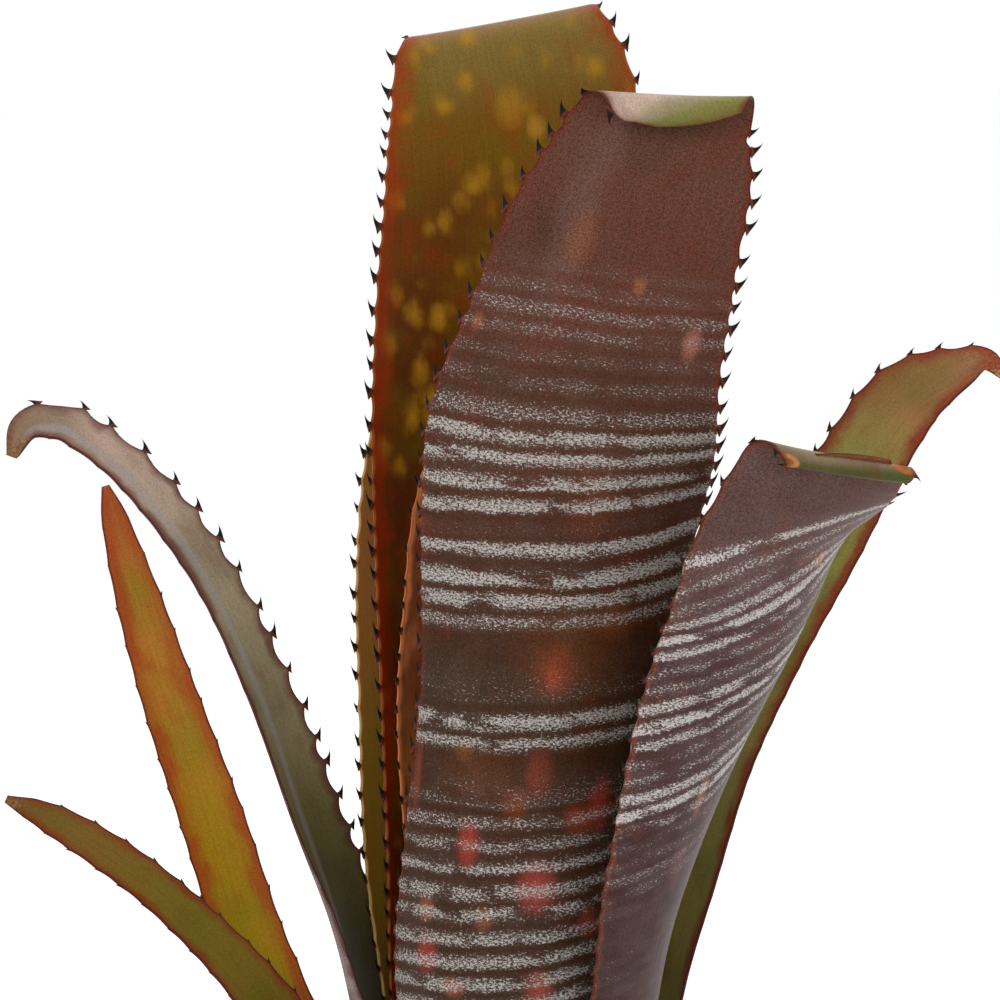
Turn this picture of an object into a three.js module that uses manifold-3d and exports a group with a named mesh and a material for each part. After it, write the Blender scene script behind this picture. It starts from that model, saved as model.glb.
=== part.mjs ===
// A tubular bromeliad in its nursery pot, in millimetres, +Z up, resting on the pot's flat foot at z = 0.
// The viewer's side is -Y and +X is to the right. Every leaf is one closed solid that starts in the
// crown, wraps round the inner leaves as a sheath and spreads into a strap-shaped blade.

import * as THREE from 'three';
import Module from 'manifold-3d';
import { mergeVertices } from 'three/addons/utils/BufferGeometryUtils.js';

const wasm = await Module();
wasm.setup();

// ---- Driving sizes ----

const POT_HEIGHT = 125;
const POT_MOUTH_RADIUS = 67; // outside of the wall at the mouth, without the rim
const POT_FOOT_RADIUS = 50; // outside of the wall at the foot
const POT_WALL = 1.8;
const POT_FLOOR = 2.4;
const RIM_REACH = 3; // how far the turned-down rim stands out from the wall
const RIM_SKIRT = 1.2; // thickness of the rim's hanging skirt
const RIM_DROP = 9; // height of the rim's skirt
const DRAIN_COUNT = 8;
const DRAIN_RADIUS = 5;
const DRAIN_RING_RADIUS = 34;

const MIX_BELOW_RIM = 12; // potting mix surface below the pot's rim
const MIX_MOUND = 2; // the surface rises this much towards the crown
const CROWN_DEPTH = 9; // leaf bases start this far below the mix surface

const STEM_RADIUS = 8;
const STEM_ROOTED = 30; // length of stem below the mix surface
const STEM_SHOWING = 6; // length of stem above it, inside the innermost leaf
const STEM_ROUNDING = 3;

const LEAF_THICKNESS = 1.5; // along the middle of a leaf
const MARGIN_THICKNESS = 0.8; // along its two margins
const SHEATH_GAP = 0.9; // between one leaf's sheath and the next
const TOUCHING_GAP = 0.3; // between pieces that rest on each other
const CROWN_GAP = 1.2; // between the leaf bases and the hollow in the mix
const CROWN_FLARE = 4; // the hollow widens this much towards the surface

const BLADE_STEP = 23; // greatest length of a facet along a blade
const CURL_STEP = 2.8; // greatest length of a facet along a curled tip
const ROUND = 64; // facets round the pot, mix and stem
const DRAIN_ROUND = 20;

// ---- Worked out from the driving sizes ----

const MIX_TOP = POT_HEIGHT - MIX_BELOW_RIM;
const SHEATH_PITCH = LEAF_THICKNESS + SHEATH_GAP;

const radians = THREE.MathUtils.degToRad;

// Radius, at the crown, of the middle of the sheath of the leaf on the given ring, counted from inside.
function ringRadius(ring) {
  return STEM_RADIUS + SHEATH_GAP + LEAF_THICKNESS / 2 + ring * SHEATH_PITCH;
}

// Outside radius of the pot's tapered wall at a height.
function potRadius(z) {
  return THREE.MathUtils.lerp(POT_FOOT_RADIUS, POT_MOUTH_RADIUS, z / POT_HEIGHT);
}

// ---- The leaves ----

// A leaf is a list of stations from its base to its tip. `up` is the height above the mix surface,
// `out` the distance from the plant's axis beyond the leaf's own ring, and `at` the bearing in degrees
// from +X towards +Y. `face` and `lift` are the bearing and slope that the leaf's inner face looks
// towards, `width` is its width measured along the surface, and `wrap` the angle that it curls through
// from margin to margin. A sheath station looks at the axis, and its width follows from its radius.

const sheath = (up, out, at, wrap) => ({ up, out, at, face: at + 180, lift: 0, width: null, wrap });
const blade = (up, out, at, face, width, wrap, lift = 0) => ({ up, out, at, face, lift, width, wrap });

// A curled tip is bent round a level or slightly tilted fold line. `turn` is the bearing that the tip
// curls towards, `tilt` the fold line's slope in degrees, `radius` its first radius, and `tighten` the
// share of that radius lost per radian.

const LEAVES = [
  {
    name: 'inner_leaf',
    ring: 0,
    across: 9,
    stations: [
      sheath(-CROWN_DEPTH, 0, 100, 190), sheath(17, 4.5, 100, 180), sheath(57, 12, 100, 160),
      blade(104, 17, 106, 280, 70, 140), blade(148, 16, 109, 280, 68, 130),
      blade(192, 15, 113, 280, 66, 110), blade(221, 13, 114, 280, 58, 90),
      blade(250, 10, 114, 280, 50, 70), blade(279, 7, 107, 280, 32, 50), blade(299, 6, 95, 280, 6, 40),
    ],
  },
  {
    name: 'front_leaf',
    ring: 1,
    across: 12,
    stations: [
      sheath(-CROWN_DEPTH, 0, -90, 190), sheath(17, 5, -90, 190), sheath(57, 14, -90, 170),
      blade(117, 22, -92, 90, 88, 140), blade(159, 24, -88, 90, 82, 125),
      blade(199, 26, -82, 90, 78, 110), blade(240, 29, -76.5, 90, 84, 95), blade(273, 32, -72, 88, 86, 75),
      blade(300, 35, -65, 87, 75, 60), blade(323, 39, -59, 86, 68, 45), blade(342, 44, -53, 88, 59, 28),
      blade(353, 48, -51, 90, 53, 14), blade(362, 50, -48, 90, 45, 8), blade(370, 53, -45, 90, 36, 6),
      blade(378, 55, -43, 90, 22, 6),
    ],
    curl: { up: 361.5, out: 47, at: -51, turn: -90, tilt: -1, radius: 4.6, tighten: 0.05 },
  },
  {
    name: 'back_leaf',
    ring: 2,
    across: 12,
    stations: [
      sheath(-CROWN_DEPTH, 0, 90, 190), sheath(17, 5, 90, 190), sheath(57, 14, 90, 170),
      blade(102, 20, 94, 270, 92, 150), blade(146, 21, 93, 270, 92, 135), blade(190, 23, 93, 270, 90, 115),
      blade(230, 25, 93, 270, 90, 100), blade(270, 27, 93, 270, 88, 80), blade(305, 29, 92, 270, 84, 62),
      blade(334, 31, 91, 270, 79, 44), blade(360, 33, 92, 270, 73, 24), blade(376, 34, 95, 270, 66, 14),
      blade(390, 34, 98, 270, 52, 8), blade(404, 35, 101, 270, 24, 8),
    ],
    curl: { up: 377.5, out: 34, at: 97, turn: 90, tilt: 10, radius: 7, tighten: 0.03 },
  },
  {
    name: 'back_left_leaf',
    ring: 3,
    across: 9,
    stations: [
      sheath(-CROWN_DEPTH, 0, 110, 180), sheath(17, 5, 110, 170), sheath(57, 14, 110, 145),
      blade(102, 22, 110, 285, 70, 108), blade(145, 29, 112, 280, 68, 95), blade(189, 33, 113, 278, 62, 75),
      blade(229, 37, 113, 275, 57, 60), blade(264, 40, 113, 275, 46, 45), blade(287, 41, 112, 275, 30, 30),
      blade(302, 43, 109, 275, 6, 20),
    ],
  },
  {
    name: 'right_leaf',
    ring: 4,
    across: 12,
    stations: [
      sheath(-CROWN_DEPTH, 0, -10, 190), sheath(17, 5.5, -10, 180), sheath(57, 15, -10, 150),
      blade(111, 19.5, -12, 174, 80, 108), blade(156, 33.5, -22, 163, 85, 102), blade(195, 52, -30, 150, 85, 92),
      blade(224, 65, -34, 139, 79, 74), blade(246, 74, -37.5, 128, 67, 48), blade(262, 82, -38.5, 120, 55, 24),
      blade(275, 89, -38, 116, 46, 12), blade(285, 94, -37.5, 114, 39, 10), blade(294, 97, -37, 114, 24, 10),
    ],
    curl: { up: 267, out: 84.7, at: -38.3, turn: -63, tilt: -8, radius: 6.8, tighten: 0.05 },
  },
  {
    name: 'left_arching_leaf',
    ring: 5,
    across: 7,
    stations: [
      sheath(-CROWN_DEPTH, 0, -195, 190), sheath(17, 5, -195, 180), sheath(52, 13.5, -195, 140),
      blade(106, 29, 159, -12, 40, 92), blade(135, 35, 162, -18, 35, 88), blade(167, 44, 166, -30, 27, 78, 5),
      blade(199, 53.5, 169, -40, 20.5, 68, 10), blade(230, 67.5, 172, -48, 17.5, 55, 20),
      blade(253, 83.5, 174, -60, 16.5, 50, 35), blade(267, 98, 176, -75, 15, 40, 45),
      blade(273, 108, 177, -90, 14, 30, 45), blade(272, 117, 178, -110, 11, 25, 40),
      blade(264, 121, 179, -125, 4, 20, 30),
    ],
  },
  {
    name: 'right_back_leaf',
    ring: 6,
    across: 7,
    stations: [
      sheath(-CROWN_DEPTH, 0, 35, 180), sheath(17, 5.5, 35, 160), sheath(52, 14, 35, 125),
      blade(102, 28, 41, 225, 40, 100), blade(140, 37, 39, 232, 35, 80), blade(174, 48, 38, 240, 32, 65),
      blade(206, 63, 35, 245, 30, 50), blade(234, 79, 32, 250, 28, 45), blade(259, 93, 30, 250, 26, 40),
      blade(276, 105, 28, 255, 23, 30, 15), blade(284, 116, 25, 260, 15, 20, 25),
      blade(287, 124, 23, 260, 7, 20, 30), blade(282, 129, 22, 250, 2, 20, 30),
    ],
  },
  {
    name: 'left_low_leaf',
    ring: 7,
    across: 7,
    stations: [
      sheath(-CROWN_DEPTH, 0, -185, 138), sheath(15, 4.5, -187, 125), sheath(42, 13, -190, 95),
      blade(85, 39, 160, -40, 26, 78), blade(111, 58, 162, -50, 18, 55, 15), blade(133, 80, 164, -60, 14.5, 45, 25),
      blade(148, 101, 165, -70, 12.5, 35, 30), blade(156, 116, 165, -80, 9, 30, 30),
      blade(161, 127, 166, -80, 2, 20, 30),
    ],
  },
  {
    name: 'left_back_leaf',
    ring: 8,
    across: 7,
    stations: [
      sheath(-CROWN_DEPTH, 0, -220, 150), sheath(15, 5.5, -220, 136), sheath(40, 18, -221, 105),
      blade(73, 57, 139, -60, 34, 90), blade(105, 72, 140, -70, 23, 55), blade(148, 89, 141, -75, 20, 40),
      blade(189, 106, 142, -80, 17, 35), blade(220, 119, 142, -80, 12.5, 30), blade(238, 126, 142, -80, 7, 20),
      blade(246, 129, 142, -80, 2, 20),
    ],
  },
  {
    name: 'basal_leaf_front',
    ring: 7,
    across: 7,
    stations: [
      sheath(-CROWN_DEPTH, 0, -55, 112), sheath(10, 4, -55, 105), sheath(28, 13, -56, 82),
      blade(46, 26, -58, 122, 33, 60, 12), blade(61, 41, -60, 120, 24, 45, 32), blade(69, 56, -62, 118, 16, 35, 55),
      blade(71, 68, -63, 117, 9, 30, 75), blade(69, 76, -63, 117, 3, 20, 85),
    ],
  },
  {
    name: 'basal_leaf_right',
    ring: 8,
    across: 7,
    stations: [
      sheath(-CROWN_DEPTH, 0, 8, 98), sheath(8, 4, 8, 92), sheath(24, 14, 9, 76),
      blade(41, 28, 10, 190, 30, 55, 16), blade(52, 43, 11, 191, 22, 42, 42), blade(57, 57, 12, 192, 14, 35, 68),
      blade(56, 68, 13, 193, 3, 20, 85),
    ],
  },
];

const COLOURS = {
  front_leaf: 0x54322c,
  right_leaf: 0x5a3a38,
  back_leaf: 0x5b4a20,
  back_left_leaf: 0x5f5226,
  inner_leaf: 0x6b4026,
  left_arching_leaf: 0x5a5f4e,
  right_back_leaf: 0x6a5a34,
  left_back_leaf: 0x9a5a2c,
  left_low_leaf: 0x5d5426,
  basal_leaf_front: 0x6b5a30,
  basal_leaf_right: 0x6b5a30,
};

// ---- Leaf geometry ----

// Turns a station into the row of numbers that is interpolated along the leaf.
function stationRow(station, ring) {
  const radius = ringRadius(ring) + station.out;
  const bearing = radians(station.at);
  const wrap = radians(station.wrap);
  return [
    radius * Math.cos(bearing),
    radius * Math.sin(bearing),
    MIX_TOP + station.up,
    radians(station.face),
    radians(station.lift),
    station.width ?? radius * wrap,
    wrap,
  ];
}

// A smooth curve through rows: a cubic whose slope at each row is the mean of its neighbours' slopes.
function smoothRows(rows) {
  const places = [0];
  for (let i = 1; i < rows.length; i += 1) {
    const [dx, dy, dz] = [0, 1, 2].map((k) => rows[i][k] - rows[i - 1][k]);
    places.push(places[i - 1] + Math.hypot(dx, dy, dz));
  }
  const chord = (i, k) => (rows[i + 1][k] - rows[i][k]) / (places[i + 1] - places[i]);
  const slope = (i, k) => {
    if (i === 0) return chord(0, k);
    if (i === rows.length - 1) return chord(i - 1, k);
    return (chord(i - 1, k) + chord(i, k)) / 2;
  };
  const length = places.at(-1);
  const at = (place) => {
    const clamped = THREE.MathUtils.clamp(place, 0, length);
    const i = Math.min(places.findLastIndex((start) => start <= clamped), rows.length - 2);
    const span = places[i + 1] - places[i];
    const t = (clamped - places[i]) / span;
    return rows[i].map((value, k) => {
      const next = rows[i + 1][k];
      return (
        value * (1 + 2 * t) * (1 - t) ** 2 +
        next * t * t * (3 - 2 * t) +
        span * slope(i, k) * t * (1 - t) ** 2 -
        span * slope(i + 1, k) * t * t * (1 - t)
      );
    });
  };
  return { places, at };
}

// Bends a point that lies beyond the fold line round it.
function bendTip(point, curl, ring) {
  const bearing = radians(curl.at);
  const radius = ringRadius(ring) + curl.out;
  const fold = new THREE.Vector3(radius * Math.cos(bearing), radius * Math.sin(bearing), MIX_TOP + curl.up);
  const turn = radians(curl.turn);
  const outward = new THREE.Vector3(Math.cos(turn), Math.sin(turn), 0);
  const level = new THREE.Vector3(Math.abs(outward.y), -outward.x * Math.sign(outward.y), 0).normalize();
  const tilt = radians(curl.tilt);
  const along = level.multiplyScalar(Math.cos(tilt)).add(new THREE.Vector3(0, 0, Math.sin(tilt)));
  const upward = outward.clone().cross(along).normalize();
  if (upward.z < 0) upward.negate();
  const offset = point.clone().sub(fold);
  const beyond = offset.dot(upward);
  if (beyond <= 0) return point;
  const angle = (1 - Math.sqrt(Math.max(1 - (2 * curl.tighten * beyond) / curl.radius, 0))) / curl.tighten;
  const bendRadius = curl.radius * (1 - curl.tighten * angle);
  const reach = bendRadius - offset.dot(outward);
  return fold
    .addScaledVector(outward, curl.radius)
    .addScaledVector(along, offset.dot(along))
    .addScaledVector(outward, -reach * Math.cos(angle))
    .addScaledVector(upward, reach * Math.sin(angle));
}

// The distances along a leaf at which it has facets: each stretch between two stations is divided
// evenly, and a curled tip more finely.
function facetPlaces(leaf, curve) {
  const curlStart = leaf.curl ? MIX_TOP + leaf.curl.up - 2 * leaf.curl.radius : Infinity;
  const places = [0];
  for (let i = 1; i < curve.places.length; i += 1) {
    const start = curve.places[i - 1];
    const span = curve.places[i] - start;
    const step = curve.at(curve.places[i])[2] > curlStart ? CURL_STEP : BLADE_STEP;
    const count = Math.ceil(span / step);
    for (let part = 1; part <= count; part += 1) {
      places.push(start + (span * part) / count);
    }
  }
  return places;
}

// Rows of points across the middle of a leaf's thickness, from its base to its tip.
function middleGrid(leaf) {
  const curve = smoothRows(leaf.stations.map((station) => stationRow(station, leaf.ring)));
  const nudge = 0.5;
  return facetPlaces(leaf, curve).map((place) => {
    const [x, y, z, face, lift, width, wrap] = curve.at(place);
    const before = new THREE.Vector3(...curve.at(place - nudge));
    const along = new THREE.Vector3(...curve.at(place + nudge)).sub(before).normalize();
    const level = Math.cos(lift);
    const inward = new THREE.Vector3(level * Math.cos(face), level * Math.sin(face), Math.sin(lift));
    const sideways = inward.clone().cross(along).normalize();
    const towards = along.clone().cross(sideways);
    const radius = width / wrap;
    return Array.from({ length: leaf.across }, (_, j) => {
      const turned = (j / (leaf.across - 1) - 0.5) * wrap;
      const point = new THREE.Vector3(x, y, z)
        .addScaledVector(sideways, radius * Math.sin(turned))
        .addScaledVector(towards, radius * (1 - Math.cos(turned)));
      return leaf.curl ? bendTip(point, leaf.curl, leaf.ring) : point;
    });
  });
}

// The direction that the inner face looks at one point of the grid.
function gridNormal(grid, i, j) {
  const ahead = grid[Math.min(i + 1, grid.length - 1)][j];
  const behind = grid[Math.max(i - 1, 0)][j];
  const row = grid[i];
  const right = row[Math.min(j + 1, row.length - 1)];
  const left = row[Math.max(j - 1, 0)];
  return ahead.clone().sub(behind).cross(right.clone().sub(left)).normalize();
}

// One closed leaf: the grid thickened to both sides, with a wall along each margin and at each end.
function leafGeometry(leaf) {
  const grid = middleGrid(leaf);
  const rows = grid.length;
  const columns = leaf.across;
  const vertices = [];
  for (const side of [1, -1]) {
    for (let i = 0; i < rows; i += 1) {
      for (let j = 0; j < columns; j += 1) {
        const middle = Math.sin((Math.PI * j) / (columns - 1));
        const thickness = THREE.MathUtils.lerp(MARGIN_THICKNESS, LEAF_THICKNESS, middle);
        const point = grid[i][j].clone().addScaledVector(gridNormal(grid, i, j), (side * thickness) / 2);
        vertices.push(point.x, point.y, point.z);
      }
    }
  }
  const inner = (i, j) => i * columns + j;
  const outer = (i, j) => rows * columns + i * columns + j;
  const faces = [];
  const quad = (a, b, c, d) => faces.push(a, b, c, a, c, d);
  for (let i = 0; i < rows - 1; i += 1) {
    for (let j = 0; j < columns - 1; j += 1) {
      quad(inner(i, j), inner(i + 1, j), inner(i + 1, j + 1), inner(i, j + 1));
      quad(outer(i, j), outer(i, j + 1), outer(i + 1, j + 1), outer(i + 1, j));
    }
    quad(inner(i, 0), outer(i, 0), outer(i + 1, 0), inner(i + 1, 0));
    quad(inner(i, columns - 1), inner(i + 1, columns - 1), outer(i + 1, columns - 1), outer(i, columns - 1));
  }
  for (let j = 0; j < columns - 1; j += 1) {
    quad(inner(0, j), inner(0, j + 1), outer(0, j + 1), outer(0, j));
    quad(inner(rows - 1, j), outer(rows - 1, j), outer(rows - 1, j + 1), inner(rows - 1, j + 1));
  }
  const geometry = new THREE.BufferGeometry();
  geometry.setAttribute('position', new THREE.Float32BufferAttribute(vertices, 3));
  geometry.setIndex(faces);
  geometry.computeVertexNormals();
  return geometry;
}

// ---- Turned pieces ----

// A lathe geometry about the Z axis from [radius, height] pairs.
function turned(profile) {
  const points = profile.map(([radius, height]) => new THREE.Vector2(radius, height));
  return new THREE.LatheGeometry(points, ROUND).rotateX(Math.PI / 2);
}

// The pot: floor, tapered wall and a turned-down rim that is open underneath.
function potProfile() {
  const skirtInside = POT_MOUTH_RADIUS + RIM_REACH - RIM_SKIRT;
  const underRim = POT_HEIGHT - POT_WALL;
  return [
    [0, 0],
    [POT_FOOT_RADIUS - 1, 0],
    [POT_FOOT_RADIUS, 1],
    [potRadius(underRim), underRim],
    [skirtInside, underRim],
    [skirtInside, POT_HEIGHT - RIM_DROP],
    [skirtInside + RIM_SKIRT, POT_HEIGHT - RIM_DROP],
    [skirtInside + RIM_SKIRT, POT_HEIGHT - 1],
    [skirtInside + RIM_SKIRT - 1, POT_HEIGHT],
    [POT_MOUTH_RADIUS - POT_WALL + 1, POT_HEIGHT],
    [POT_MOUTH_RADIUS - POT_WALL, POT_HEIGHT - 1],
    [potRadius(POT_FLOOR) - POT_WALL, POT_FLOOR],
    [0, POT_FLOOR],
  ];
}

function toManifold(geometry) {
  geometry.deleteAttribute('normal');
  geometry.deleteAttribute('uv');
  const merged = mergeVertices(geometry, 1e-3);
  const mesh = new wasm.Mesh({
    numProp: 3,
    vertProperties: new Float32Array(merged.getAttribute('position').array),
    triVerts: new Uint32Array(merged.index.array),
  });
  return new wasm.Manifold(mesh);
}

function toGeometry(manifold) {
  const mesh = manifold.getMesh();
  const geometry = new THREE.BufferGeometry();
  geometry.setAttribute('position', new THREE.BufferAttribute(mesh.vertProperties, 3));
  geometry.setIndex(new THREE.BufferAttribute(mesh.triVerts, 1));
  geometry.computeVertexNormals();
  return geometry;
}

// The pot with its drainage holes, which leave the middle of the floor whole.
function potGeometry() {
  let pot = toManifold(turned(potProfile()));
  for (let i = 0; i < DRAIN_COUNT; i += 1) {
    const bearing = (360 * i) / DRAIN_COUNT;
    const drill = new THREE.CylinderGeometry(DRAIN_RADIUS, DRAIN_RADIUS, POT_FLOOR * 3, DRAIN_ROUND);
    drill.rotateX(Math.PI / 2).translate(DRAIN_RING_RADIUS, 0, 0).rotateZ(radians(bearing));
    pot = pot.subtract(toManifold(drill));
  }
  return toGeometry(pot);
}

// The potting mix: it fills the pot, with a hollow for the crown and a socket for the stem.
function mixProfile() {
  const inside = (z) => potRadius(z) - POT_WALL - TOUCHING_GAP;
  const bottom = POT_FLOOR + TOUCHING_GAP;
  const outerRing = Math.max(...LEAVES.map((leaf) => leaf.ring));
  const crownRadius = ringRadius(outerRing) + LEAF_THICKNESS / 2 + CROWN_GAP;
  const crownFloor = MIX_TOP - CROWN_DEPTH - CROWN_GAP;
  const socketRadius = STEM_RADIUS + TOUCHING_GAP;
  const socketBottom = MIX_TOP - STEM_ROOTED - TOUCHING_GAP;
  return [
    [0, bottom],
    [inside(bottom), bottom],
    [inside(MIX_TOP), MIX_TOP],
    [crownRadius + CROWN_FLARE + 6, MIX_TOP + MIX_MOUND],
    [crownRadius + CROWN_FLARE, MIX_TOP + MIX_MOUND],
    [crownRadius, crownFloor],
    [socketRadius, crownFloor],
    [socketRadius, socketBottom],
    [0, socketBottom],
  ];
}

// The short stem that the leaves grow from, with rounded ends.
function stemProfile() {
  const bottom = MIX_TOP - STEM_ROOTED;
  const top = MIX_TOP + STEM_SHOWING;
  return [
    [0, bottom],
    [STEM_RADIUS - STEM_ROUNDING, bottom],
    [STEM_RADIUS, bottom + STEM_ROUNDING],
    [STEM_RADIUS, top - STEM_ROUNDING],
    [STEM_RADIUS - STEM_ROUNDING, top],
    [0, top],
  ];
}

// ---- The plant in its pot ----

const plant = new THREE.Group();

function addPiece(name, geometry, colour, roughness) {
  const material = new THREE.MeshStandardMaterial({ color: colour, roughness, metalness: 0 });
  const mesh = new THREE.Mesh(geometry, material);
  mesh.name = name;
  plant.add(mesh);
}

addPiece('pot', potGeometry(), 0x2b2a29, 0.6);
addPiece('potting_mix', turned(mixProfile()), 0x3a2a20, 0.95);
addPiece('stem', turned(stemProfile()), 0x8a6a48, 0.7);
for (const leaf of LEAVES) {
  addPiece(leaf.name, leafGeometry(leaf), COLOURS[leaf.name], 0.45);
}

export default plant;
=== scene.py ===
"""A tubular bromeliad in its nursery pot, dressed on its fixed frame.

The leaves follow the same stations and the same smoothing as their solids, with toothed margins,
claws, silver scurf, flecks and ribs added. The pot is turned, drilled and filled with a bark mix.
"""

import logging
import math
from dataclasses import dataclass, field
from enum import Enum
from typing import Any, Mapping, Sequence

import bmesh
import bpy
import numpy as np
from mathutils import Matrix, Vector


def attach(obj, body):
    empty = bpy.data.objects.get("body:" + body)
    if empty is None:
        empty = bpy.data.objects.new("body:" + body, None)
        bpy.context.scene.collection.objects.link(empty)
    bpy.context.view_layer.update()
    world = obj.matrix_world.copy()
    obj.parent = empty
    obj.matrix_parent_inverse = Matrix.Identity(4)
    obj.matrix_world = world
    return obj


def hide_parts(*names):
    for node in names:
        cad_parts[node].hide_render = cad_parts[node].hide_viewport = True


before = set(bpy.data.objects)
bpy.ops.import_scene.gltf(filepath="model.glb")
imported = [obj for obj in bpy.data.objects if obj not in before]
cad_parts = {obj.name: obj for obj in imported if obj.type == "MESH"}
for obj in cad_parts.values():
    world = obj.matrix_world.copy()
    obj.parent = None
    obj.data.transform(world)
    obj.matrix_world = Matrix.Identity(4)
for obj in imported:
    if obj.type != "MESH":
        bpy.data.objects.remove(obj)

LOG = logging.getLogger("bromeliad")
MM = 0.001
BODY = "root"

# Sizes in millimetres that several pieces share.
POT_HEIGHT = 125.0
MIX_BELOW_RIM = 12.0
MIX_TOP = POT_HEIGHT - MIX_BELOW_RIM
CROWN_DEPTH = 9.0
STEM_RADIUS = 8.0
LEAF_THICKNESS = 1.5
MARGIN_THICKNESS = 0.8
MARGIN_ROUNDING = 0.22
SHEATH_GAP = 0.9
SHEATH_PITCH = SHEATH_GAP + LEAF_THICKNESS

Triple = tuple[float, float, float]
Stops = tuple[tuple[float, Any], ...]
Shades = tuple[tuple[float, str], ...]
Lines = tuple[tuple[float, float], ...]
Profile = Sequence[tuple[float, float]]


def paint(code: str) -> Triple:
    """Reads a display colour.

    Args:
        code: Six hexadecimal digits.

    Returns:
        The colour in linear light.
    """
    parts = (int(code[i : i + 2], 16) / 255 for i in (0, 2, 4))
    return tuple(v / 12.92 if v <= 0.04045 else ((v + 0.055) / 1.055) ** 2.4 for v in parts)


# ---- Node boards ----


class Wire:
    """An output socket that takes part in sums: each operator adds a Math node."""

    def __init__(self, board: "Board", socket: bpy.types.NodeSocket) -> None:
        """Keeps the socket and the board that it is on."""
        self.board = board
        self.socket = socket

    def _math(self, operation: str, first: Any, second: Any) -> "Wire":
        """Adds one Math node."""
        return self.board.math(operation, first, second)

    def __add__(self, other: Any) -> "Wire":
        """Adds."""
        return self._math("ADD", self, other)

    def __radd__(self, other: Any) -> "Wire":
        """Adds, from the right."""
        return self._math("ADD", other, self)

    def __sub__(self, other: Any) -> "Wire":
        """Subtracts."""
        return self._math("SUBTRACT", self, other)

    def __rsub__(self, other: Any) -> "Wire":
        """Subtracts, from the right."""
        return self._math("SUBTRACT", other, self)

    def __mul__(self, other: Any) -> "Wire":
        """Multiplies."""
        return self._math("MULTIPLY", self, other)

    def __rmul__(self, other: Any) -> "Wire":
        """Multiplies, from the right."""
        return self._math("MULTIPLY", other, self)

    def __truediv__(self, other: Any) -> "Wire":
        """Divides."""
        return self._math("DIVIDE", self, other)

    def __pow__(self, other: Any) -> "Wire":
        """Raises to a power."""
        return self._math("POWER", self, other)


class Board:
    """A node tree that is built up node by node."""

    def __init__(self, tree: bpy.types.NodeTree) -> None:
        """Keeps the tree."""
        self.tree = tree

    def node(
        self,
        kind: str,
        settings: Mapping[str, Any] | None = None,
        sockets: Mapping[Any, Any] | None = None,
    ) -> bpy.types.Node:
        """Adds a node.

        Args:
            kind: The node's type.
            settings: Properties, set first; "stops" are a ramp's places and colours.
            sockets: Values or wires for its inputs, by name or number.

        Returns:
            The new node.
        """
        made = self.tree.nodes.new(kind)
        for name, value in (settings or {}).items():
            if name == "stops":
                self._fill_ramp(made.color_ramp, value)
            elif name == "interpolation" and hasattr(made, "color_ramp"):
                made.color_ramp.interpolation = value
            else:
                setattr(made, name, value)
        for name, value in (sockets or {}).items():
            socket = made.inputs[name]
            if isinstance(value, Wire):
                self.tree.links.new(value.socket, socket)
            elif socket.type == "RGBA" and len(value) == 3:
                socket.default_value = (*value, 1.0)
            else:
                socket.default_value = value
        return made

    def wire(
        self,
        kind: str,
        settings: Mapping[str, Any] | None = None,
        sockets: Mapping[Any, Any] | None = None,
        output: Any = 0,
    ) -> Wire:
        """Adds a node, as node() does, and gives one of its outputs."""
        return Wire(self, self.node(kind, settings, sockets).outputs[output])

    @staticmethod
    def _fill_ramp(ramp: bpy.types.ColorRamp, stops: Stops) -> None:
        """Gives a ramp its stops.

        Args:
            ramp: The ramp of a new node.
            stops: Places, each with a colour or a grey.
        """
        while len(ramp.elements) < len(stops):
            ramp.elements.new(0.5)
        for element, (place, value) in zip(ramp.elements, stops):
            element.position = place
            element.color = (*value, 1.0) if isinstance(value, tuple) else (value, value, value, 1.0)

    def math(self, operation: str, first: Any, second: Any = 0.0) -> Wire:
        """Adds a Math node and gives its result."""
        return self.wire("ShaderNodeMath", {"operation": operation}, {0: first, 1: second})


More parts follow.
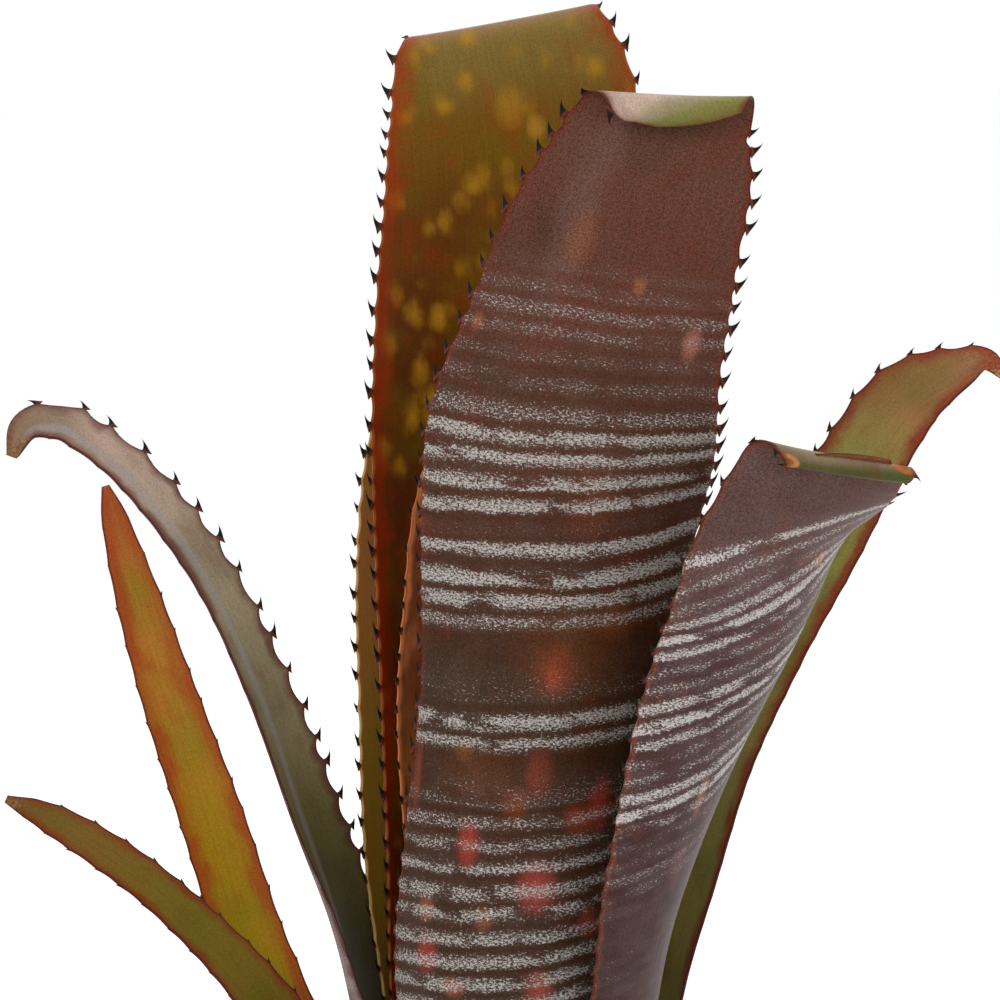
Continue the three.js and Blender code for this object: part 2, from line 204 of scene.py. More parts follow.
class Bench(Board):
    """The board of one material."""

    def __init__(self, name: str) -> None:
        """Starts an empty material.

        Args:
            name: Its name.
        """
        self.material = bpy.data.materials.new(name)
        self.material.use_nodes = True
        super().__init__(self.material.node_tree)
        self.tree.nodes.clear()

    def attribute(self, name: str) -> Wire:
        """Reads a vector attribute of the piece."""
        return self.wire("ShaderNodeAttribute", {"attribute_name": name}, output="Vector")

    def place(self) -> Wire:
        """Reads the point's own place in the frame, in millimetres."""
        return self.scaled(self.wire("ShaderNodeTexCoord", output="Object"), (1 / MM, 1 / MM, 1 / MM))

    def scaled(self, vector: Wire, by: Triple, move: Triple = (0.0, 0.0, 0.0)) -> Wire:
        """Scales a vector along each axis and then moves it."""
        sockets = {0: vector, 1: by, 2: move}
        return self.wire("ShaderNodeVectorMath", {"operation": "MULTIPLY_ADD"}, sockets)

    def split(self, vector: Wire) -> tuple[Wire, Wire, Wire]:
        """Takes a vector apart."""
        made = self.node("ShaderNodeSeparateXYZ", None, {0: vector})
        return tuple(Wire(self, output) for output in made.outputs)

    def noise(self, vector: Wire, scale: float, detail: float = 2.0, roughness: float = 0.5) -> Wire:
        """Reads soft noise.

        Args:
            vector: Where to read it.
            scale: Waves per unit of the vector.
            detail: Octaves added.
            roughness: How strong the finer octaves are.

        Returns:
            A value about one half.
        """
        sockets = {"Vector": vector, "Scale": scale, "Detail": detail, "Roughness": roughness}
        return self.wire("ShaderNodeTexNoise", {"noise_dimensions": "3D"}, sockets)

    def cells(self, vector: Wire, scale: float) -> Wire:
        """Reads the distance to the nearest of many scattered dots."""
        sockets = {"Vector": vector, "Scale": scale}
        return self.wire("ShaderNodeTexVoronoi", {"feature": "F1"}, sockets, "Distance")

    def fade(self, value: Wire, low: float, high: float) -> Wire:
        """Turns a value into a smooth mask.

        Args:
            value: The value.
            low: Where the mask is 0.
            high: Where the mask is 1; it may be the lesser of the two.

        Returns:
            The mask, held at 0 and 1 beyond them.
        """
        start, end, first, last = (low, high, 0.0, 1.0) if low < high else (high, low, 1.0, 0.0)
        sockets = {"Value": value, "From Min": start, "From Max": end, "To Min": first, "To Max": last}
        settings = {"interpolation_type": "SMOOTHSTEP", "clamp": True}
        return self.wire("ShaderNodeMapRange", settings, sockets)

    def ramp(self, value: Wire, stops: Stops, interpolation: str = "EASE") -> Wire:
        """Turns a value into the colours of a ramp."""
        settings = {"interpolation": interpolation, "stops": stops}
        return self.wire("ShaderNodeValToRGB", settings, {0: value})

    def blend(self, factor: Any, first: Any, second: Any, how: str = "MIX") -> Wire:
        """Mixes two colours.

        Args:
            factor: How much of the second.
            first: The colour under.
            second: The colour over.
            how: The Mix node's blend type.

        Returns:
            The mixed colour.
        """
        settings = {"data_type": "RGBA", "blend_type": how, "clamp_factor": True}
        factor_socket, first_socket, second_socket, colour_output = 0, 6, 7, 2
        sockets = {factor_socket: factor, first_socket: first, second_socket: second}
        return self.wire("ShaderNodeMix", settings, sockets, colour_output)

    def finish(self, colour: Any, roughness: Any, height: Wire | None, sheen: float) -> bpy.types.Material:
        """Closes the material with its surface shader.

        Args:
            colour: The base colour.
            roughness: The roughness.
            height: Relief in millimetres, or None.
            sheen: The specular level, the same all over.

        Returns:
            The material.
        """
        sockets = {"Base Color": colour, "Roughness": roughness, "Specular IOR Level": sheen}
        if height is not None:
            relief = {"Strength": 1.0, "Distance": MM, "Height": height}
            sockets["Normal"] = self.wire("ShaderNodeBump", None, relief)
        shader = self.wire("ShaderNodeBsdfPrincipled", None, sockets)
        self.node("ShaderNodeOutputMaterial", None, {"Surface": shader})
        return self.material


class Rig(Board):
    """The board of one Geometry Nodes tree with named inputs."""

    def __init__(self, name: str) -> None:
        """Starts a tree that takes and gives geometry.

        Args:
            name: Its name.
        """
        super().__init__(bpy.data.node_groups.new(name, "GeometryNodeTree"))
        self.tree.interface.new_socket("Geometry", in_out="INPUT", socket_type="NodeSocketGeometry")
        self.tree.interface.new_socket("Geometry", in_out="OUTPUT", socket_type="NodeSocketGeometry")
        self.entry = self.tree.nodes.new("NodeGroupInput")
        self.values: dict[str, Any] = {}

    def geometry(self) -> Wire:
        """Gives the geometry that comes in."""
        return Wire(self, self.entry.outputs["Geometry"])

    def input(self, name: str, kind: str, value: Any) -> Wire:
        """Adds a named input.

        Args:
            name: What it is called.
            kind: The socket's type, such as Float.
            value: What it is set to.

        Returns:
            Its wire.
        """
        item = self.tree.interface.new_socket(name, in_out="INPUT", socket_type="NodeSocket" + kind)
        self.values[item.identifier] = value
        return Wire(self, self.entry.outputs[name])

    def named(self, name: str) -> Wire:
        """Reads a named vector attribute."""
        return self.wire("GeometryNodeInputNamedAttribute", {"data_type": "FLOAT_VECTOR"}, {"Name": name})

    def shape(self, thing: Wire) -> Wire:
        """Takes the shape out of an object input."""
        return self.wire("GeometryNodeObjectInfo", None, {"Object": thing}, "Geometry")

    def random(self, low: Triple, high: Triple, seed: Wire) -> Wire:
        """Gives each point a random vector between low and high."""
        sockets = {0: low, 1: high, "Seed": seed}
        return self.wire("FunctionNodeRandomValue", {"data_type": "FLOAT_VECTOR"}, sockets)

    def set_out(self, points: Wire, pattern: Wire, turn: Wire, size: Wire) -> Wire:
        """Sets a pattern on every point, turned and sized."""
        sockets = {"Points": points, "Instance": self.shape(pattern), "Rotation": turn, "Scale": size}
        return self.wire("GeometryNodeInstanceOnPoints", None, sockets)

    def close(self, shape: Wire, material: Wire) -> None:
        """Ends the tree.

        Args:
            shape: What has been made; its instances are made real.
            material: The material that it is given.
        """
        real = self.wire("GeometryNodeRealizeInstances", None, {0: shape})
        dressed = self.wire("GeometryNodeSetMaterial", None, {"Geometry": real, "Material": material})
        self.node("NodeGroupOutput", None, {0: dressed})

    def run(self, carrier: bpy.types.Object) -> None:
        """Runs the tree and leaves the result as a plain mesh.

        Args:
            carrier: The object whose mesh goes in and is replaced.
        """
        modifier = carrier.modifiers.new(self.tree.name, "NODES")
        modifier.node_group = self.tree
        for identifier, value in self.values.items():
            modifier[identifier] = value
        settle(carrier)


# ---- Mesh helpers ----


def settle(thing: bpy.types.Object) -> None:
    """Replaces an object's mesh by its evaluated one and clears its modifiers.

    Args:
        thing: The object.
    """
    graph = bpy.context.evaluated_depsgraph_get()
    evaluated = thing.evaluated_get(graph)
    made = bpy.data.meshes.new_from_object(evaluated, preserve_all_data_layers=True, depsgraph=graph)
    thing.modifiers.clear()
    thing.data = made
    made.name = thing.name


def shape_of(
    name: str,
    points: np.ndarray,
    faces: Sequence[Sequence[int]],
    vectors: Mapping[str, np.ndarray] | None = None,
    smooth: bool = True,
) -> bpy.types.Object:
    """Makes an object from points in millimetres.

    Args:
        name: The piece's name.
        points: One row for each vertex.
        faces: Vertex numbers of each face.
        vectors: Vector attributes, by name.
        smooth: Whether its faces are shaded smooth.

    Returns:
        The linked object.
    """
    mesh = bpy.data.meshes.new(name)
    mesh.from_pydata((points * MM).tolist(), [], [list(face) for face in faces])
    for key, values in (vectors or {}).items():
        layer = mesh.attributes.new(key, "FLOAT_VECTOR", "POINT")
        layer.data.foreach_set("vector", np.asarray(values, np.float32).ravel())
    if smooth:
        mesh.polygons.foreach_set("use_smooth", [True] * len(mesh.polygons))
    mesh.update()
    made = bpy.data.objects.new(name, mesh)
    bpy.context.scene.collection.objects.link(made)
    return made


def unit(vectors: np.ndarray) -> np.ndarray:
    """Scales each vector to length one."""
    return vectors / np.maximum(np.linalg.norm(vectors, axis=-1, keepdims=True), 1e-12)


def hang(piece: bpy.types.Object) -> None:
    """Hangs a finished piece on the plant's body.

    Args:
        piece: The piece.
    """
    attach(piece, BODY)
    LOG.info("%s: %d faces", piece.name, len(piece.data.polygons))


def lathe(profile: Profile, around: int) -> tuple[np.ndarray, list[list[int]]]:
    """Turns a profile about the Z axis.

    Args:
        profile: Radius and height pairs, from the axis round and back to it, anticlockwise.
        around: Facets round the turn.

    Returns:
        Points and faces of a closed shell.
    """
    bearings = np.linspace(0, 2 * math.pi, around, endpoint=False)
    first, last = 0, 1
    points = [(0.0, 0.0, profile[0][1]), (0.0, 0.0, profile[-1][1])]
    rings = []
    for radius, height in profile[1:-1]:
        start = len(points)
        points += [(radius * math.cos(a), radius * math.sin(a), height) for a in bearings]
        rings.append([*range(start, start + around), start])
    sides = range(around)
    faces = [[first, rings[0][j + 1], rings[0][j]] for j in sides]
    for one, other in zip(rings, rings[1:]):
        faces += [[one[j], one[j + 1], other[j + 1], other[j]] for j in sides]
    faces += [[rings[-1][j], rings[-1][j + 1], last] for j in sides]
    return np.array(points), faces


SIDE_SHARE = 0.45  # the most of a side that one rounded corner may take


def rounded(profile: Profile, radius: float, steps: int = 4) -> list[tuple[float, float]]:
    """Rounds the corners of a profile.

    Args:
        profile: Radius and height pairs.
        radius: The corner radius aimed at, limited by the sides that meet.
        steps: Points on each rounded corner.

    Returns:
        The profile with its corners rounded.
    """
    made = [profile[0]]
    for before, corner, after in zip(profile, profile[1:], profile[2:]):
        b, c, a = (np.array(p, float) for p in (before, corner, after))
        reach = min(radius, np.linalg.norm(b - c) * SIDE_SHARE, np.linalg.norm(a - c) * SIDE_SHARE)
        start, end = c + unit(b - c) * reach, c + unit(a - c) * reach
        for k in range(steps + 1):
            t = k / steps
            made.append(tuple(start * (1 - t) ** 2 + 2 * c * t * (1 - t) + end * t * t))
    made.append(profile[-1])
    return made


# ---- Leaf finish ----


class Face(Enum):
    """The two faces of a leaf; the inner face looks at the plant's axis."""

    INNER = 0
    OUTER = 1


@dataclass(frozen=True)
class Fleck:
    """A soft spot on a leaf where the tissue glows, or a ringed scar.

    across and along are its place in millimetres from the midline and the base; wide and long are its
    half sizes. A scar takes no strength.
    """

    face: Face
    across: float
    along: float
    wide: float
    long: float
    colour: str
    strength: float = 0.8
    ringed: bool = False


def flecks(face: Face, *rows: tuple[Any, ...], ringed: bool = False) -> tuple[Fleck, ...]:
    """Makes flecks on one face, each row being across, along, wide, long, colour and strength."""
    return tuple(Fleck(face, *row, ringed=ringed) for row in rows)


def bands(first: float, pitch: float, count: int, strength: float, swing: float, beat: float) -> Lines:
    """Spaces silver bands evenly, with strengths that come and go.

    Args:
        first: The lowest band's place along the blade, in millimetres.
        pitch: From one band to the next.
        count: How many bands.
        strength: Their mean strength.
        swing: How far it comes and goes.
        beat: How fast it does so, in radians from band to band.

    Returns:
        The bands' places and strengths.
    """
    return tuple((first + pitch * k, strength + swing * math.sin(k * beat)) for k in range(count))


def worn_below(lines: Lines, full: float, gone: float, least: float) -> Lines:
    """Wears silver bands down towards the base.

    Args:
        lines: The bands' places and strengths.
        full: Above this place they are whole.
        gone: The place where they would reach nothing.
        least: The share of their strength that they keep at least.

    Returns:
        The bands with their new strengths.
    """
    share = [min(1.0, max(least, (place - gone) / (full - gone))) for place, _ in lines]
    return tuple((place, strength * kept) for (place, strength), kept in zip(lines, share))


@dataclass(frozen=True)
class Scurf:
    """Silver scale that lies across a leaf's outer face in wavy bands.

    lines are the bands' places along the blade and their strengths, half is half a band's width, slope
    tips them across the blade, sag bows them and haze is thin scale between them.
    """

    lines: Lines
    half: float = 2.0
    slope: float = 0.0
    sag: float = 0.0
    colour: str = "b3aeaa"
    haze: float = 0.0


RAMP_BANDS = 9  # bands that fit on one colour ramp
NO_DRY_TIP = 2.0  # a place beyond the tip, as a share of the leaf's length
FACE_LAYER = 40.0  # keeps the patterns of a leaf's two faces apart
INNER_GRIT = 0.3  # strength of the pores on the inner face
LEAF_SHEEN = 0.07
# Colour of the painted highlight along a leaf's midline.
MIDLINE_HIGHLIGHT_COLOUR = "b0aaa8"
SCAR_COLOUR = "8e5a3a"
HUSK_COLOUR = "5b3d24"


@dataclass(frozen=True)
class LeafSkin:
    """The living skin of one leaf.

    inner and outer are the faces' display colours from base to tip. Widths and places are millimetres,
    strengths are shares, depth is how far the ribs and pores shade the colour, which also darkens
    it all over, so that a low depth paints a leaf lighter, grit is their strength on the outer face
    and dry_from is where the withered tip starts, as a share of the length.
    """

    inner: Shades
    outer: Shades
    margin: str = "7a2f1c"
    margin_width: float = 2.5
    margin_strength: float = 0.8
    edging: str = "5a2314"
    mottle: str = "6b5a22"
    mottle_strength: float = 0.5
    # The lavender-grey bloom on the outer face: partly the leaf's waxy bloom, partly a painted sheen.
    bloom_and_sheen: str = "8d7f86"
    bloom_and_sheen_strength: float = 0.25
    sheath: str = "b79c96"
    sheath_end: float = 40.0
    # A pale band along the midline: a painted highlight, the sheen in the leaf's channel.
    midline_highlight: float = 0.0
    midline_highlight_at: float = 0.0
    # glow: painted light shining through the leaf, laid as soft dots on the inner face.
    glow: str = ""
    glow_strength: float = 0.6
    depth: float = 1.0
    grit: float = INNER_GRIT
    dry_from: float = NO_DRY_TIP
    dry: str = "8a6a48"
    roughness: float = 0.42
    scurf: Scurf | None = None
    flecks: tuple[Fleck, ...] = ()

    def material(self, name: str, length: float) -> bpy.types.Material:
        """Builds the skin's material.

        Args:
            name: The material's name.
            length: The leaf's length along its midline, in millimetres.

        Returns:
            The material.
        """
        bench = Bench(name)
        blade = bench.attribute("blade")
        across, along, side = bench.split(blade)
        fraction, edge, _ = bench.split(bench.attribute("rim"))
        outside = bench.fade(side, 0.4, 0.6)
        layered = bench.scaled(blade, (1.0, 1.0, FACE_LAYER))
        broad = bench.noise(layered, 0.03, 3.0)
        patch = bench.noise(bench.scaled(layered, (1.0, 0.6, 1.0), (31.0, 7.0, 0.0)), 0.09, 3.0, 0.6)
        ribs = bench.noise(bench.scaled(layered, (1.0, 0.03, 1.0)), 1.1, 2.0, 0.6)
        grain = bench.noise(layered, 1.0, 2.0, 0.65)
        pores = bench.noise(layered, 2.6, 1.0, 0.6)

        # The tissue under the skin.
        inner, outer = (self._run(bench, fraction, shades) for shades in (self.inner, self.outer))
        colour = bench.blend(outside, inner, outer)
        mottled = bench.fade(broad, 0.42, 0.68) * self.mottle_strength
        colour = bench.blend(mottled, colour, paint(self.mottle))
        colour = bench.blend(bench.fade(patch, 0.5, 0.75) * 0.35, colour, paint(self.margin))
        # Bloom laid in patches on the outer face: partly waxy bloom, partly a painted sheen.
        bloom_and_sheen_mask = outside * bench.fade(patch, 0.62, 0.3) * self.bloom_and_sheen_strength
        colour = bench.blend(bloom_and_sheen_mask, colour, paint(self.bloom_and_sheen))
        # A pale band beside the midline: a painted highlight of the sheen in the channel.
        if self.midline_highlight:
            beside = bench.math("ABSOLUTE", across - self.midline_highlight_at)
            colour = bench.blend(bench.fade(beside, 2.4, 0.6) * self.midline_highlight, colour, paint(MIDLINE_HIGHLIGHT_COLOUR))
        # Painted glow: soft dots of light shining through the leaf, on the inner face only.
        if self.glow:
            dots = bench.cells(bench.scaled(layered, (1.0, 0.8, 1.0), (3.0, 11.0, 0.0)), 0.1)
            lit = bench.fade(dots + (patch - 0.5) * 1.1 + (grain - 0.5) * 0.2, 0.42, -0.05)
            colour = bench.blend(lit * (1.0 - outside) * self.glow_strength, colour, paint(self.glow))
        ragged = patch + (grain - 0.5) * 0.35
        for fleck in self.flecks:
            colour = self._fleck(bench, colour, fleck, blade, ragged)

        # The margins, and the shade of ribs and pores.
        rim = bench.fade(edge + (patch - 0.5) * (2.2 * self.margin_width), self.margin_width, 0.0)
        colour = bench.blend(rim * self.margin_strength, colour, paint(self.margin))
        line = bench.fade(edge + (grain - 0.5) * 0.4, 0.55, 0.1)
        colour = bench.blend(line * 0.7, colour, paint(self.edging))
        speckle = bench.fade(grain, 0.3, 0.7) * 0.3 + bench.fade(pores, 0.36, 0.64) * 0.5 - 0.4
        shade = 0.47 + ribs * 0.2 + speckle * (outside * (self.grit - INNER_GRIT) + INNER_GRIT)
        colour = bench.blend(self.depth, colour, shade, "MULTIPLY")
        roughness = self.roughness + (grain - 0.5) * 0.25
        height = ribs * 0.10 + grain * 0.05 + broad * 0.6

        # What lies on the skin: silver scale, the pale sheath and the withered tip.
        if self.scurf:
            scale = self._scurf(bench, across, along, layered, length) * outside
            colour = bench.blend(scale, colour, paint(self.scurf.colour))
            roughness = roughness + scale * 0.3
            height = height + scale * 0.07
        sheathed = bench.fade(along + (patch - 0.5) * 30.0, self.sheath_end, self.sheath_end * 0.35)
        colour = bench.blend(sheathed * (0.3 + outside * 0.6), colour, paint(self.sheath))
        if self.dry_from < NO_DRY_TIP:
            dried = bench.fade(fraction + (patch - 0.5) * 0.12, self.dry_from, self.dry_from + 0.05)
            husk = bench.blend(bench.fade(grain, 0.35, 0.7), paint(HUSK_COLOUR), paint(self.dry))
            colour = bench.blend(dried, colour, husk)
            roughness = roughness + dried * 0.3
            height = height + dried * ribs * 0.5
        return bench.finish(colour, roughness, height, LEAF_SHEEN)

    @staticmethod
    def _run(bench: Bench, fraction: Wire, colours: Shades) -> Wire:
        """Runs a face's colours from base to tip."""
        return bench.ramp(fraction, tuple((place, paint(code)) for place, code in colours))

    @staticmethod
    def _fleck(bench: Bench, under: Wire, fleck: Fleck, blade: Wire, ragged: Wire) -> Wire:
        """Lays one fleck or scar on a leaf.

        Args:
            bench: The material's board.
            under: The colour under it.
            fleck: The fleck.
            blade: The blade's coordinates.
            ragged: Noise that frays its edge.

        Returns:
            The colour with the fleck on it.
        """
        across, along, side = bench.split(blade)
        away = ((across - fleck.across) / fleck.wide) ** 2.0 + ((along - fleck.along) / fleck.long) ** 2.0
        away = away + (ragged - 0.5) * 0.9
        low, high = (0.45, 0.55) if fleck.face is Face.OUTER else (0.55, 0.45)
        here = bench.fade(side, low, high)
        if fleck.ringed:
            ring = bench.blend(bench.fade(away, 1.3, 0.8) * here, under, paint(fleck.colour))
            return bench.blend(bench.fade(away, 0.4, 0.1) * here * 0.8, ring, paint(SCAR_COLOUR))
        return bench.blend(bench.fade(away, 1.5, -0.5) * here * fleck.strength, under, paint(fleck.colour))

    def _scurf(self, bench: Bench, across: Wire, along: Wire, layered: Wire, length: float) -> Wire:
        """Works out where the silver scale lies.

        Args:
            bench: The material's board.
            across: Distance from the midline, in millimetres.
            along: Distance from the base, in millimetres.
            layered: The blade's coordinates, told apart by face.
            length: The leaf's length.

        Returns:
            Its cover, from 0 to 1.
        """
        scurf, wave = self.scurf, 3.6
        sway = bench.noise(bench.scaled(layered, (0.7, 0.5, 1.0), (0.0, 90.0, 0.0)), 0.06, 2.0, 0.55)
        fray = bench.noise(bench.scaled(layered, (0.8, 1.0, 1.0)), 0.8, 3.0, 0.75)
        place = along + (sway - 0.5) * wave + (fray - 0.5) * wave
        if scurf.slope:
            place = place + across * scurf.slope
        if scurf.sag:
            place = place - across * across * scurf.sag
        core, foot = scurf.half * 0.7, scurf.half * 1.3
        cover = None
        for start in range(0, len(scurf.lines), RAMP_BANDS):
            stops: list[tuple[float, float]] = []
            for middle, strength in scurf.lines[start : start + RAMP_BANDS]:
                for shift, level in ((-foot, 0.0), (-core, strength), (core, strength)):
                    stops.append(((middle + shift) / length, level))
            stops.append((stops[-1][0] + (foot - core) / length, 0.0))
            part = bench.ramp(place / length, tuple(stops), "LINEAR")
            cover = part if cover is None else bench.math("MAXIMUM", cover, part)
        worn = bench.noise(bench.scaled(layered, (0.45, 1.0, 1.0), (5.0, 0.0, 3.0)), 0.16, 3.0, 0.6)
        cover = cover * (0.45 + bench.fade(worn, 0.3, 0.5) * 0.55)
        scales = bench.noise(bench.scaled(layered, (0.6, 1.1, 1.0)), 1.8, 2.0, 0.85)
        thick = bench.fade(scales + cover * 0.33, 0.74, 0.86)
        film = cover * 0.05 + scurf.haze * bench.fade(worn, 0.35, 0.7)
        return bench.math("MINIMUM", thick * 0.9 + film, 0.95)


@dataclass(frozen=True)
class ClawFinish:
    """Black horn with a redder root."""

    tip: str = "120d0c"
    root: str = "5c2a1c"

    def material(self) -> bpy.types.Material:
        """Builds the claws' material.

        Returns:
            The material.
        """
        bench = Bench("claw_horn")
        reach, _, _ = bench.split(bench.attribute("claw"))
        grain = bench.noise(bench.place(), 1.5, 2.0)
        dark = bench.fade(reach + (grain - 0.5) * 0.25, 0.02, 0.3)
        colour = bench.blend(dark, paint(self.root), paint(self.tip))
        return bench.finish(colour, 0.4 + grain * 0.2, grain * 0.05, 0.1)


# ---- Leaves ----


@dataclass(frozen=True)
class Station:
    """One cross-section of a leaf: heights and lengths in millimetres, bearings in degrees."""

    up: float
    out: float
    at: float
    face: float
    width: float | None
    wrap: float
    lift: float = 0.0


@dataclass(frozen=True)
class Curl:
    """A tip that rolls outwards about a fold line.

    up, out and at place the fold, turn is the bearing that it rolls towards, tilt is the fold line's
    slope, and the roll's radius shrinks by tighten for each radian.
    """

    up: float
    out: float
    at: float
    turn: float
    tilt: float
    radius: float
    tighten: float


@dataclass(frozen=True)
class Margin:
    """The teeth along a leaf's margins, in millimetres.

    dip is how far the margin is drawn in between two teeth, start and stop keep the teeth from the base
    and the tip, lean turns the claws towards the tip, and hands scales each margin's teeth, that of the
    negative arcs first.
    """

    pitch: float = 7.5
    length: float = 3.6
    dip: float = 0.8
    start: float = 62.0
    stop: float = 4.0
    lean: float = 0.55
    hands: tuple[float, float] = (1.0, 1.0)
    seed: int = 1


def sheath(up: float, out: float, at: float, wrap: float) -> Station:
    """A station where the leaf wraps round the ones inside it."""
    return Station(up, out, at, at + 180, None, wrap)


def blade(
    up: float, out: float, at: float, face: float, width: float, wrap: float, lift: float = 0.0
) -> Station:
    """A station of the free blade."""
    return Station(up, out, at, face, width, wrap, lift)


MARGIN_CROWDING = 1.25  # how far a leaf's points crowd towards its margins
MARGIN_PULL = 6  # how soon a scallop in the margin dies out towards the midline
FULL_DIP_HALF = 6.0  # half width from which the scallops have their full depth
TIP_THINNING = 3.0  # length over which the tip thins out


@dataclass
class Leaf:
    """One leaf, from its sheath in the crown to its tip.

    ring counts the leaf's place from the innermost outwards, step and across set how fine its mesh is,
    and cockle is the height of the free blade's slight waves.
    """

    name: str
    ring: int
    stations: tuple[Station, ...]
    skin: LeafSkin
    slot: str = ""
    curl: Curl | None = None
    margin: Margin = field(default_factory=Margin)
    step: float = 1.0
    across: int = 35
    cockle: float = 0.35

    def __post_init__(self) -> None:
        """Lays the stations out along the leaf."""
        self.rows = np.array([self._row(station) for station in self.stations])
        steps = np.linalg.norm(np.diff(self.rows[:, :3], axis=0), axis=1)
        self.places = np.concatenate([[0.0], np.cumsum(steps)])
        chords = np.diff(self.rows, axis=0) / steps[:, None]
        self.slopes = np.vstack([chords[:1], (chords[:-1] + chords[1:]) / 2, chords[-1:]])
        self.length = float(self.places[-1])
        self.slot = self.slot or f"{self.name}_skin"

    def _foot(self) -> float:
        """Radius of the ring that the leaf grows from."""
        return STEM_RADIUS + SHEATH_GAP + LEAF_THICKNESS / 2 + self.ring * SHEATH_PITCH

    def _row(self, station: Station) -> list[float]:
        """Turns a station into the numbers that are smoothed along the leaf.

        Args:
            station: The station.

        Returns:
            Its middle's place, face and lift in radians, width, and wrap in radians.
        """
        radius = self._foot() + station.out
        bearing, wrap = math.radians(station.at), math.radians(station.wrap)
        width = radius * wrap if station.width is None else station.width
        face, lift = math.radians(station.face), math.radians(station.lift)
        x, y = radius * math.cos(bearing), radius * math.sin(bearing)
        return [x, y, MIX_TOP + station.up, face, lift, width, wrap]

    def _at(self, places: np.ndarray) -> np.ndarray:
        """Reads the smoothed numbers along the leaf.

        Args:
            places: Distances along the leaf.

        Returns:
            A row like a station's for each of them.
        """
        held = np.clip(places, 0, self.length)
        i = np.clip(np.searchsorted(self.places, held, side="right") - 1, 0, len(self.places) - 2)
        span = self.places[i + 1] - self.places[i]
        t = ((held - self.places[i]) / span)[:, None]
        span = span[:, None]
        rise = span * self.slopes[i] * t * (1 - t) ** 2 - span * self.slopes[i + 1] * t * t * (1 - t)
        return self.rows[i] * (1 + 2 * t) * (1 - t) ** 2 + self.rows[i + 1] * t * t * (3 - 2 * t) + rise

    def surface(self, places: np.ndarray, arcs: np.ndarray) -> np.ndarray:
        """Finds points on the middle of the leaf's thickness.

        Args:
            places: Distances along the leaf.
            arcs: For each place, distances across the leaf from its midline.

        Returns:
            Points, one for each arc.
        """
        row = self._at(places)
        centre, face, lift, width, wrap = row[:, :3], row[:, 3], row[:, 4], row[:, 5], row[:, 6]
        ahead, behind = places + 0.5, places - 0.5
        along = unit(self._at(ahead)[:, :3] - self._at(behind)[:, :3])
        inward = np.stack([np.cos(lift) * np.cos(face), np.cos(lift) * np.sin(face), np.sin(lift)], axis=1)
        sideways = unit(np.cross(inward, along))
        towards = np.cross(along, sideways)
        radius = (width / wrap)[:, None]
        turned = arcs / radius
        points = centre[:, None] + sideways[:, None] * (radius * np.sin(turned))[..., None]
        points = points + towards[:, None] * (radius * (1 - np.cos(turned)))[..., None]
        points = points + towards[:, None] * self._cockled(places, arcs)[..., None]
        return self._bend(points) if self.curl else points

    def _cockled(self, places: np.ndarray, arcs: np.ndarray) -> np.ndarray:
        """Works out the slight waves of the free blade.

        Args:
            places: Distances along the leaf.
            arcs: For each place, distances across the leaf from its midline.

        Returns:
            How far each point is moved along the leaf's face.
        """
        sheathed = 60.0
        slow = np.sin(places / 23.0 + self.ring)[:, None] * np.sin(arcs / 13.0 + self.ring)
        quick = np.sin(places / 9.0 + arcs[:, 0] / 17.0)[:, None]
        free = np.clip((places - sheathed) / sheathed, 0, 1)[:, None]
        return (slow + 0.6 * quick) * (free * self.cockle)

    def _bend(self, points: np.ndarray) -> np.ndarray:
        """Rolls what lies beyond the fold line.

        Args:
            points: Points of the flat leaf.

        Returns:
            The same points, those beyond the fold rolled.
        """
        curl = self.curl
        bearing, radius = math.radians(curl.at), self._foot() + curl.out
        fold = np.array([radius * math.cos(bearing), radius * math.sin(bearing), MIX_TOP + curl.up])
        turn, tilt = math.radians(curl.turn), math.radians(curl.tilt)
        outward = np.array([math.cos(turn), math.sin(turn), 0.0])
        level = unit(np.array([abs(outward[1]), -outward[0] * np.sign(outward[1]), 0.0]))
        along = level * math.cos(tilt) + np.array([0.0, 0.0, math.sin(tilt)])
        upward = unit(np.cross(outward, along))
        upward = -upward if upward[2] < 0 else upward
        offset = points - fold
        beyond = offset @ upward
        left = 1 - 2 * curl.tighten * np.maximum(beyond, 0) / curl.radius
        angle = (1 - np.sqrt(np.maximum(left, 0))) / curl.tighten
        reach = curl.radius * (1 - curl.tighten * angle) - offset @ outward
        rolled = fold + outward * curl.radius + along * (offset @ along)[..., None]
        rolled = rolled - outward * (reach * np.cos(angle))[..., None]
        rolled = rolled + upward * (reach * np.sin(angle))[..., None]
        return np.where((beyond > 0)[..., None], rolled, points)

    def _teeth(self, hand: int) -> np.ndarray:
        """Places the teeth of one margin, which are a little uneven.

        Args:
            hand: Which margin, 0 or 1.

        Returns:
            Their distances along the leaf.
        """
        chance = np.random.default_rng(self.margin.seed * 10 + hand)
        place, made = self.margin.start + chance.uniform(0, self.margin.pitch), []
        while place < self.length - self.margin.stop:
            made.append(place)
            place += self.margin.pitch * chance.uniform(0.78, 1.22)
        return np.array(made)

    def _dip(self, places: np.ndarray, teeth: np.ndarray) -> np.ndarray:
        """Works out how far the margin is drawn in between its teeth.

        Args:
            places: Distances along the leaf.
            teeth: Distances of the teeth.

        Returns:
            The depth at each place, nothing at a tooth.
        """
        i = np.clip(np.searchsorted(teeth, places, side="right") - 1, 0, len(teeth) - 2)
        phase = (places - teeth[i]) / (teeth[i + 1] - teeth[i])
        inside = (phase > 0) & (phase < 1)
        return np.where(inside, np.sin(math.pi * np.clip(phase, 0, 1)) ** 0.8, 0.0) * self.margin.dip

